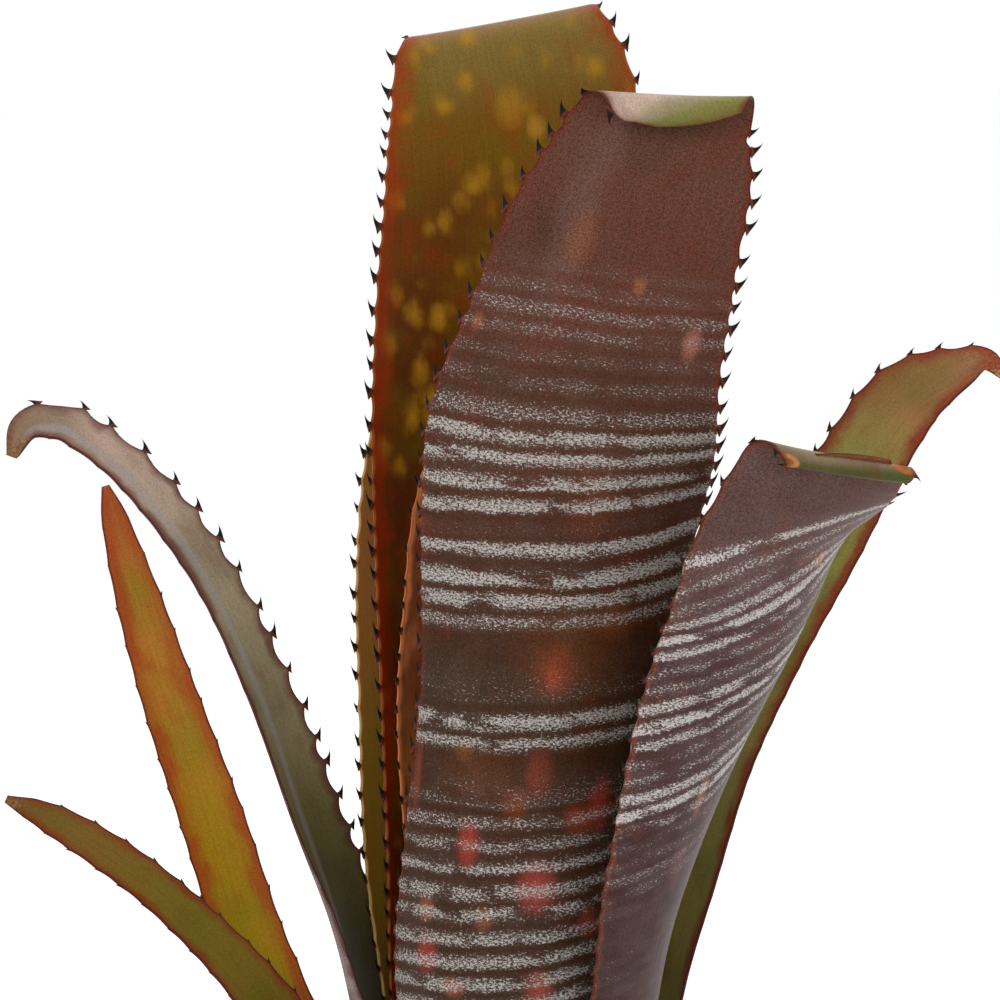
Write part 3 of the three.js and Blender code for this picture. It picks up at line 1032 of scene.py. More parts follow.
    def build_blade(self) -> bpy.types.Object:
        """Builds the closed leaf with its drawn-in margins.

        Returns:
            The blade, with its coordinates as attributes.
        """
        count = int(self.length / self.step)
        places = np.linspace(0.0, self.length, count)
        even = np.linspace(-1, 1, self.across)
        share = np.sign(even) * (1 - (1 - np.abs(even)) ** MARGIN_CROWDING)
        half = self._at(places)[:, 5] / 2
        room = np.minimum(1.0, half / FULL_DIP_HALF)
        hands = self.margin.hands
        low, high = (self._dip(places, self._teeth(hand)) * room * hands[hand] for hand in (0, 1))
        nip = np.where(share[None] < 0, low[:, None], high[:, None])
        arcs = share[None] * half[:, None] - nip * (np.abs(share) ** MARGIN_PULL * np.sign(share))[None]
        middle = self.surface(places, arcs)
        normal = unit(np.cross(np.gradient(middle, axis=0), np.gradient(middle, axis=1)))
        edge = half[:, None] - nip - np.abs(arcs)

        thick = MARGIN_THICKNESS + (LEAF_THICKNESS - MARGIN_THICKNESS) * np.sin(math.pi * (share + 1) / 2)
        tip = np.clip((self.length - places) / TIP_THINNING, 0, 1)[:, None]
        thick = thick[None] * (0.35 + 0.65 * np.sqrt(tip))
        inner = middle + normal * (thick / 2)[..., None]
        outer = middle - normal * (thick / 2)[..., None]
        left = middle[:, :1] + unit(middle[:, :1] - middle[:, 1:2]) * MARGIN_ROUNDING
        right = middle[:, -1:] + unit(middle[:, -1:] - middle[:, -2:-1]) * MARGIN_ROUNDING
        loop = np.concatenate([inner, right, outer[:, ::-1], left], axis=1)

        zero, flat = np.zeros((count, 1)), np.zeros_like(arcs)
        along = places[:, None] + np.zeros_like(loop[..., 0])
        side = np.concatenate([flat, zero + 0.5, flat + 1.0, zero + 0.5], axis=1)
        crossed = np.concatenate([arcs, arcs[:, -1:], arcs[:, ::-1], arcs[:, :1]], axis=1)
        depth = np.concatenate([edge, zero, edge[:, ::-1], zero], axis=1)
        attributes = {
            "blade": np.stack([crossed, along, side], axis=-1).reshape(-1, 3),
            "rim": np.stack([along / self.length, depth, np.zeros_like(depth)], axis=-1).reshape(-1, 3),
        }
        faces = self._ring_faces(count, self.across)
        return shape_of(f"{self.name}_blade", loop.reshape(-1, 3), faces, attributes)

    @staticmethod
    def _ring_faces(count: int, across: int) -> list[list[int]]:
        """Lists the faces of a closed strip whose rows are loops.

        Args:
            count: How many rows.
            across: Points across each of the two faces; a loop has one more at each margin.

        Returns:
            The vertex numbers of each face, with both ends capped.
        """
        ring = 2 * across + 2
        i, r = np.meshgrid(np.arange(count - 1), np.arange(ring), indexing="ij")
        on = (r + 1) % ring
        faces = np.stack([i * ring + r, (i + 1) * ring + r, (i + 1) * ring + on, i * ring + on], axis=-1)
        made = faces.reshape(-1, 4).tolist()
        far = 2 * across
        caps = [[j, j + 1, far - j - 1, far - j] for j in range(across - 1)]
        caps += [[across - 1, across, across + 1], [far, far + 1, 0]]
        last = (count - 1) * ring
        return made + caps + [[last + k for k in cap[::-1]] for cap in caps]

    def build_claws(self, claw: bpy.types.Object, horn: bpy.types.Material) -> bpy.types.Object:
        """Sets a claw on every tooth of both margins.

        Args:
            claw: The claw's shape, one unit long.
            horn: Its material.

        Returns:
            One plain object with all of the leaf's claws.
        """
        roots, outs, tips, sizes = [], [], [], []
        chance = np.random.default_rng(self.margin.seed)
        near, sunk = 0.6, 0.35
        for hand, sign in ((0, -1.0), (1, 1.0)):
            teeth = self._teeth(hand)
            half = self._at(teeth)[:, 5] / 2
            ahead = self.surface(teeth + near, sign * half[:, None])[:, 0]
            behind = self.surface(teeth - near, sign * half[:, None])[:, 0]
            pair = self.surface(teeth, sign * np.stack([half, half - 0.8], axis=1))
            outward = unit(pair[:, 0] - pair[:, 1])
            forward = unit(ahead - behind)
            outward = unit(outward - forward * np.sum(outward * forward, axis=1, keepdims=True))
            normal = np.cross(outward, forward)
            stray = normal * chance.normal(0, 0.10, (len(teeth), 1))
            outward = unit(outward + stray + forward * self.margin.lean)
            forward = unit(forward - outward * np.sum(forward * outward, axis=1, keepdims=True))
            size = self.margin.length * self.margin.hands[hand] * chance.uniform(0.78, 1.12, len(teeth))
            size = size * np.clip((teeth - self.margin.start) / 25.0 + 0.55, 0.5, 1.0)
            size = size * np.clip(half / 7.0, 0.45, 1.0)
            roots.append(pair[:, 0] - outward * sunk)
            outs.append(outward)
            tips.append(forward)
            sizes.append(np.repeat(size[:, None], 3, axis=1))
        attributes = {
            "outward": np.concatenate(outs),
            "forward": np.concatenate(tips),
            "size": np.concatenate(sizes),
        }
        carrier = shape_of(f"{self.name}_claws", np.concatenate(roots), [], attributes)
        rig = Rig("claws_along_margin")
        pattern, material = rig.input("Claw", "Object", claw), rig.input("Horn", "Material", horn)
        axes = {0: rig.named("outward"), 1: rig.named("forward")}
        turn = rig.wire("FunctionNodeAxesToRotation", {"primary_axis": "X", "secondary_axis": "Y"}, axes)
        rig.close(rig.set_out(rig.geometry(), pattern, turn, rig.named("size")), material)
        rig.run(carrier)
        return carrier

    def build(self, claw: bpy.types.Object, horn: bpy.types.Material) -> None:
        """Builds the leaf and its claws, dresses them and hangs them on the frame.

        Args:
            claw: The claw's shape.
            horn: The claws' material.
        """
        made = self.build_blade()
        made.data.materials.append(self.skin.material(f"{self.name}_skin", self.length))
        claws = self.build_claws(claw, horn)
        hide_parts(self.name)
        for piece in (made, claws):
            hang(piece)


@dataclass
class Claw:
    """The hooked spine that is set along the margins, one unit long.

    levels are heights and thicknesses from the root up, and hook is how far the tip bends forwards.
    """

    width: float = 0.44
    depth: float = 0.17
    hook: float = 0.42
    sides: int = 6
    levels: Lines = ((0.0, 1.0), (0.12, 0.78), (0.3, 0.5), (0.55, 0.3), (0.8, 0.14))

    def build(self) -> bpy.types.Object:
        """Builds the claw: a flattened cone that hooks towards the leaf's tip.

        Returns:
            The pattern that the margins repeat.
        """
        points, reach = [], []
        for up, size in self.levels:
            bent = 0.05 * up + self.hook * up * up - 0.10 * size
            flat = self.depth * (0.4 + 0.6 * size) * size**0.3
            for k in range(self.sides):
                turn = 2 * math.pi * k / self.sides
                forward = bent + self.width * size * math.cos(turn)
                points.append((up - 0.10 * up * up, forward, flat * math.sin(turn)))
                reach.append((up, 0.0, 0.0))
        points.append((0.92, 0.52, 0.0))
        reach.append((1.0, 0.0, 0.0))
        starts = range(0, len(self.levels) * self.sides, self.sides)
        rings = [[*range(start, start + self.sides), start] for start in starts]
        faces = []
        for low, high in zip(rings, rings[1:]):
            faces += [[low[k], low[k + 1], high[k + 1], high[k]] for k in range(self.sides)]
        faces += [[rings[-1][k], rings[-1][k + 1], len(points) - 1] for k in range(self.sides)]
        faces.append(rings[0][-2::-1])
        return shape_of("claw_pattern", np.array(points), faces, {"claw": np.array(reach)})


# ---- Pot ----


@dataclass(frozen=True)
class PotPlastic:
    """Dark moulded plastic: matt, faintly grained, dusty near its foot and rim."""

    body: str = "1d1c1c"
    worn: str = "2e2c2b"
    dust: str = "8b8278"

    def material(self) -> bpy.types.Material:
        """Builds the pot's material.

        Returns:
            The material.
        """
        bench = Bench("pot_plastic")
        place = bench.place()
        _, _, z = bench.split(place)
        grain = bench.noise(place, 1.6, 2.0, 0.6)
        cloud = bench.noise(place, 0.03, 4.0, 0.6)
        streak = bench.noise(bench.scaled(place, (1.0, 1.0, 0.05)), 0.35, 3.0, 0.6)
        speck = bench.cells(place, 0.45)
        colour = bench.blend(bench.fade(cloud, 0.4, 0.75) * 0.5, paint(self.body), paint(self.worn))
        colour = bench.blend(bench.fade(streak, 0.58, 0.8) * 0.25, colour, paint(self.worn))
        low = bench.fade(z + (cloud - 0.5) * 40.0, 16.0, 0.0)
        high = bench.fade(z + (cloud - 0.5) * 12.0, POT_HEIGHT - 8.0, POT_HEIGHT + 1.0)
        dusty = low + high * 0.6
        dusty = dusty * bench.fade(grain, 0.35, 0.65) * 0.35 + bench.fade(speck, 0.16, 0.04) * 0.25
        colour = bench.blend(dusty, colour, paint(self.dust))
        roughness = 0.46 + grain * 0.12 + dusty * 0.4
        return bench.finish(colour, roughness, grain * 0.05 + streak * 0.04, 0.35)


@dataclass(frozen=True)
class BarkMix:
    """Composted bark and peat, with pale perlite."""

    peat: str = "2c1d14"
    dry_peat: str = "3f3026"
    wet_peat: str = "1a110c"
    bark: str = "5a4534"
    dark_bark: str = "3b2618"
    worn_bark: str = "7d6450"
    perlite: str = "d9d5cb"
    stained_perlite: str = "a39c8f"

    def peat_material(self) -> bpy.types.Material:
        """Builds the crumbly peat.

        Returns:
            The material.
        """
        bench = Bench("peat")
        place = bench.place()
        crumb = bench.noise(place, 0.45, 4.0, 0.7)
        clod = bench.noise(place, 0.12, 3.0, 0.6)
        colour = bench.blend(bench.fade(crumb, 0.35, 0.7), paint(self.peat), paint(self.dry_peat))
        colour = bench.blend(bench.fade(clod, 0.5, 0.7) * 0.4, colour, paint(self.wet_peat))
        return bench.finish(colour, 0.92, crumb * 0.9 + clod * 0.8, 0.25)

    def bark_material(self) -> bpy.types.Material:
        """Builds the bark chips' fibrous skin.

        Returns:
            The material.
        """
        bench = Bench("bark_chip")
        place = bench.place()
        fibre = bench.noise(bench.scaled(place, (1.0, 0.25, 0.6)), 0.9, 3.0, 0.65)
        tone = bench.noise(place, 0.11, 1.0)
        colour = bench.blend(bench.fade(tone, 0.35, 0.65), paint(self.dark_bark), paint(self.bark))
        colour = bench.blend(bench.fade(fibre, 0.5, 0.75) * 0.6, colour, paint(self.worn_bark))
        return bench.finish(colour, 0.85, fibre * 0.35, 0.3)

    def perlite_material(self) -> bpy.types.Material:
        """Builds the perlite's chalky skin.

        Returns:
            The material.
        """
        bench = Bench("perlite_grain")
        pores = bench.noise(bench.place(), 1.4, 2.0, 0.6)
        colour = bench.blend(bench.fade(pores, 0.35, 0.6), paint(self.stained_perlite), paint(self.perlite))
        return bench.finish(colour, 0.9, pores * 0.3, 0.3)


@dataclass
class Pot:
    """The nursery pot: sizes in millimetres.

    mouth and foot are the wall's outer radii at its top and bottom, step is the height of the ridge
    that pots of this kind stack on, and recess lifts the floor inside the foot ring.
    """

    height: float = POT_HEIGHT
    mouth: float = 67.0
    foot: float = 50.0
    wall: float = 1.8
    floor: float = 2.4
    rim_reach: float = 3.0
    rim_skirt: float = 1.2
    rim_drop: float = 9.0
    step: float = 92.0
    step_reach: float = 0.7
    ring_width: float = 7.0
    recess: float = 1.6
    rounding: float = 0.9
    facets: int = 160
    drains: int = 8
    drain_radius: float = 5.0
    drain_ring: float = 34.0
    finish: PotPlastic = field(default_factory=PotPlastic)

    def radius(self, z: float) -> float:
        """Outside of the tapered wall at a height."""
        return self.foot + (self.mouth - self.foot) * z / self.height

    def _profile(self) -> list[tuple[float, float]]:
        """Lists the section of the wall, floor and turned-down rim.

        Returns:
            Radius and height pairs with rounded corners.
        """
        skirt = self.mouth + self.rim_reach - self.rim_skirt
        under, drop = self.height - self.wall, self.height - self.rim_drop
        corners = [
            (0.0, self.recess),
            (self.foot - self.ring_width - 1.0, self.recess),
            (self.foot - self.ring_width, 0.0),
            (self.foot, 0.0),
            (self.radius(12.0), 12.0),
            (self.radius(self.step), self.step),
            (self.radius(self.step) + self.step_reach, self.step + 1.0),
            (self.radius(under), under),
            (skirt, under),
            (skirt, drop),
            (skirt + self.rim_skirt, drop),
            (skirt + self.rim_skirt, self.height),
            (self.mouth - self.wall, self.height),
            (self.radius(self.floor) - self.wall, self.floor),
            (0.0, self.floor),
        ]
        return rounded(corners, self.rounding)

    def _drill(self, carrier: bpy.types.Object, plastic: bpy.types.Material) -> None:
        """Cuts the ring of drainage holes in the floor.

        Args:
            carrier: The turned pot.
            plastic: Its material.
        """
        rig = Rig("drainage_holes")
        count = rig.input("Holes", "Int", self.drains)
        ring = rig.input("Ring Radius", "Float", self.drain_ring * MM)
        bore = rig.input("Hole Radius", "Float", self.drain_radius * MM)
        material = rig.input("Plastic", "Material", plastic)
        sockets = {"Vertices": count, "Radius": ring}
        circle = rig.wire("GeometryNodeMeshCircle", {"fill_type": "NONE"}, sockets)
        size = {"Vertices": 48, "Radius": bore, "Depth": 0.03}
        drill = rig.wire("GeometryNodeMeshCylinder", None, size)
        drills = rig.wire("GeometryNodeInstanceOnPoints", None, {"Points": circle, "Instance": drill})
        drills = rig.wire("GeometryNodeRealizeInstances", None, {0: drills})
        sockets = {0: rig.geometry(), 1: drills}
        cut = rig.wire("GeometryNodeMeshBoolean", {"operation": "DIFFERENCE"}, sockets)
        rig.close(cut, material)
        rig.run(carrier)

    def build(self) -> None:
        """Turns the pot, drills it and dresses it."""
        points, faces = lathe(self._profile(), self.facets)
        pot = shape_of("nursery_pot", points, faces)
        self._drill(pot, self.finish.material())
        pot.data.polygons.foreach_set("use_smooth", [True] * len(pot.data.polygons))
        pot.data.set_sharp_from_angle(angle=math.radians(35))
        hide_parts("pot")
        hang(pot)


@dataclass(frozen=True)
class Scatter:
    """How one kind of lump lies on the bed.

    count is about how many, lean is the most that they tip in radians, and clear is how far their
    middles keep from the pot's wall in millimetres.
    """

    name: str
    count: int
    seed: int
    lean: float
    clear: float


@dataclass
class PottingMix:
    """The bark mix that fills the pot up to the leaf bases: sizes in millimetres.

    crown is the radius that the leaf bases take, gap keeps the mix from the pot's wall, and dish is the
    depth of the hollow that they stand in.
    """

    pot: Pot
    top: float = MIX_TOP
    crown: float = 33.0
    gap: float = 0.4
    dish: float = 4.5
    crumble: float = 1.2
    chips: int = 760
    grains: int = 150
    finish: BarkMix = field(default_factory=BarkMix)

    def _reach(self, z: float) -> float:
        """Radius of the mix at a height."""
        return self.pot.radius(z) - self.pot.wall - self.gap

    def _bed(self) -> bpy.types.Object:
        """Builds the bed: a turned body whose top is crumbled.

        Returns:
            The bed; its "clear" attribute is the distance from the pot's wall, 0 where nothing lies.
        """
        bottom, wide = self.pot.floor + self.gap, self._reach(self.top)
        profile = [(0.0, bottom)] + [(self._reach(z), z) for z in (bottom, 60.0)] + [(wide, self.top - 0.6)]
        for radius in np.arange(wide - self.crumble, 1.0, -self.crumble):
            hollow = self.dish * (1 - min(1.0, max(0.0, (radius - 26.0) / 12.0))) ** 2
            profile.append((float(radius), self.top + 1.0 - hollow))
        profile.append((0.0, self.top - 4.0))
        points, faces = lathe(profile, 150)
        x, y = points[:, 0], points[:, 1]
        radius, top = np.hypot(x, y), points[:, 2] > self.top - 8.0
        rough = np.sin(x / 2.1 + 1.7 * np.sin(y / 3.3)) * np.sin(y / 1.9 + 1.3 * np.sin(x / 2.9))
        rough = rough * 0.7 + 0.9 * np.sin(x / 7.3 + y / 9.1) * np.sin(y / 6.1 - x / 11.0)
        calm = np.clip((wide - radius) / 3.0, 0, 1)
        points[:, 2] += np.where(top, rough * calm, 0.0)
        clear = np.where(top & (radius > self.crown), wide - radius, 0.0)
        return shape_of("potting_bed", points, faces, {"clear": np.repeat(clear[:, None], 3, axis=1)})

    @staticmethod
    def _lump(name: str, size: Triple, seed: int) -> bpy.types.Object:
        """Makes one crumpled lump of a few dozen faces.

        Args:
            name: The pattern's name.
            size: Its length, width and thickness in millimetres.
            seed: What it is crumpled by.

        Returns:
            The lump.
        """
        shell = bmesh.new()
        bmesh.ops.create_icosphere(shell, subdivisions=1, radius=0.5)
        chance = np.random.default_rng(seed)
        points = np.array([v.co[:] for v in shell.verts])
        blunt = np.sign(points) * np.abs(points) ** 0.75
        points = blunt * chance.uniform(0.75, 1.2, (len(points), 1)) * np.array(size)
        faces = [[v.index for v in f.verts] for f in shell.faces]
        shell.free()
        return shape_of(name, points, faces, smooth=False)

    def _scattered(
        self, bed: bpy.types.Object, lump: bpy.types.Object, skin: bpy.types.Material, scatter: Scatter
    ) -> bpy.types.Object:
        """Scatters lumps over the bare bed.

        Args:
            bed: The bed that they lie on.
            lump: The lump that is repeated.
            skin: The lumps' material.
            scatter: How they lie.

        Returns:
            One plain object with all the lumps.
        """
        carrier = bpy.data.objects.new(scatter.name, bed.data.copy())
        bpy.context.scene.collection.objects.link(carrier)
        rig = Rig("scatter_on_bed")
        pattern, material = rig.input("Lump", "Object", lump), rig.input("Skin", "Material", skin)
        area = math.pi * ((self.pot.radius(self.top) * MM) ** 2 - (self.crown * MM) ** 2)
        density = rig.input("Lumps per Square Metre", "Float", scatter.count / area)
        seed = rig.input("Seed", "Int", scatter.seed)
        keep = rig.input("Clear of Wall", "Float", scatter.clear)
        clear = rig.wire("ShaderNodeSeparateXYZ", None, {0: rig.named("clear")})
        settings = {"data_type": "FLOAT", "operation": "GREATER_THAN"}
        picked = rig.wire("FunctionNodeCompare", settings, {0: clear, 1: keep})
        sockets = {"Mesh": rig.geometry(), "Density": density, "Seed": seed, "Selection": picked}
        settings = {"distribute_method": "RANDOM"}
        spread = rig.wire("GeometryNodeDistributePointsOnFaces", settings, sockets, "Points")
        lean = scatter.lean
        euler = rig.random((-lean, -lean, 0.0), (lean, lean, 6.283), seed)
        turn = rig.wire("FunctionNodeEulerToRotation", None, {0: euler})
        size = rig.random((0.55, 0.55, 0.7), (1.3, 1.3, 1.3), seed)
        rig.close(rig.set_out(spread, pattern, turn, size), material)
        rig.run(carrier)
        return carrier

    def build(self) -> None:
        """Builds the bed, the chips and the grains and hangs them on the frame."""
        bed = self._bed()
        bed.data.materials.append(self.finish.peat_material())
        chip = self._lump("chip_pattern", (9.0, 5.0, 2.2), 3)
        grain = self._lump("grain_pattern", (3.0, 2.6, 2.2), 5)
        bark, perlite = self.finish.bark_material(), self.finish.perlite_material()
        pieces = [
            bed,
            self._scattered(bed, chip, bark, Scatter("bark_chips", self.chips, 11, 0.45, 7.0)),
            self._scattered(bed, grain, bark, Scatter("bark_crumbs", self.chips * 2, 17, 1.2, 3.0)),
            self._scattered(bed, grain, perlite, Scatter("perlite_grains", self.grains, 23, 1.2, 3.0)),
        ]
        for pattern in (chip, grain):
            bpy.data.objects.remove(pattern)
        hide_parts("potting_mix")
        for piece in pieces:
            hang(piece)


@dataclass(frozen=True)
class StemBark:
    """The short stem's fibrous skin."""

    light: str = "a07e58"
    dark: str = "5b4128"

    def dress(self, stem: bpy.types.Object) -> None:
        """Puts the skin on the stem's own mesh.

        Args:
            stem: The frame's stem.
        """
        bench = Bench("stem_fibre")
        place = bench.place()
        fibre = bench.noise(bench.scaled(place, (1.0, 1.0, 0.12)), 0.8, 3.0, 0.65)
        ring = bench.noise(bench.scaled(place, (0.1, 0.1, 1.0)), 0.5, 2.0)
        colour = bench.blend(bench.fade(fibre, 0.3, 0.7), paint(self.dark), paint(self.light))
        colour = bench.blend(bench.fade(ring, 0.55, 0.7) * 0.5, colour, paint(self.dark))
        skin = bench.finish(colour, 0.8, fibre * 0.3 + ring * 0.3, 0.35)
        if stem.data.materials:
            stem.data.materials[0] = skin
        else:
            stem.data.materials.append(skin)
        LOG.info("stem dressed")


# ---- Studio ----


@dataclass
class Studio:
    """A pale floor, soft lights and the camera: lengths in metres, the lens in millimetres.

    elevation is how far the camera looks down, in degrees.
    """

    target: Triple = (-0.0056, 0.0, 0.365)
    distance: float = 1.3
    elevation: float = 6.0
    lens: float = 167.1
    pale: float = 0.95
    sky: float = 1.05

    def build(self) -> None:
        """Sets the studio up."""
        self._floor()
        self._world()
        self._lamp("key_light", (-1.1, -1.9, 1.8), 1.0, 15.0)
        self._lamp("fill_light", (1.9, -1.3, 1.0), 1.4, 4.0)
        self._lamp("top_light", (0.1, 0.6, 2.3), 1.0, 8.0)
        self._lamp("back_light", (-0.7, 2.0, 1.2), 1.2, 7.0)
        self._camera()

    def _floor(self) -> None:
        """Lays the floor."""
        size = 30.0 / MM
        points = np.array([(-size, -size, 0.0), (size, -size, 0.0), (size, size, 0.0), (-size, size, 0.0)])
        floor = shape_of("studio_floor", points, [[0, 1, 2, 3]], smooth=False)
        bench = Bench("pale_floor")
        floor.data.materials.append(bench.finish((self.pale,) * 3, 0.9, None, 0.2))

    def _world(self) -> None:
        """Lights the room evenly."""
        world = bpy.data.worlds.new("studio")
        world.use_nodes = True
        shade = world.node_tree.nodes["Background"]
        shade.inputs["Color"].default_value = (1.0, 1.0, 1.0, 1.0)
        shade.inputs["Strength"].default_value = self.sky
        bpy.context.scene.world = world
        bpy.context.scene.view_settings.view_transform = "Standard"

    @staticmethod
    def _lamp(name: str, place: Triple, size: float, power: float) -> None:
        """Hangs one soft lamp that looks at the plant.

        Args:
            name: What it is called.
            place: Where it hangs.
            size: The diameter of its disc.
            power: Its power in watts.
        """
        plant = Vector((0.0, 0.0, 0.3))
        data = bpy.data.lights.new(name, "AREA")
        data.shape, data.size, data.energy = "DISK", size, power
        lamp = bpy.data.objects.new(name, data)
        lamp.location = place
        lamp.rotation_euler = (plant - Vector(place)).to_track_quat("-Z", "Y").to_euler()
        bpy.context.scene.collection.objects.link(lamp)

    def _camera(self) -> None:
        """Sets the camera."""
        data = bpy.data.cameras.new("camera")
        data.lens, data.sensor_width = self.lens, 36.0
        data.clip_end = 200.0
        camera = bpy.data.objects.new("camera", data)
        tilt = math.radians(self.elevation)
        away = Vector((0.0, -math.cos(tilt), math.sin(tilt)))
        camera.location = Vector(self.target) + away * self.distance
        camera.rotation_euler = (math.radians(90.0 - self.elevation), 0.0, 0.0)
        bpy.context.scene.collection.objects.link(camera)
        bpy.context.scene.camera = camera


# ---- The plant ----

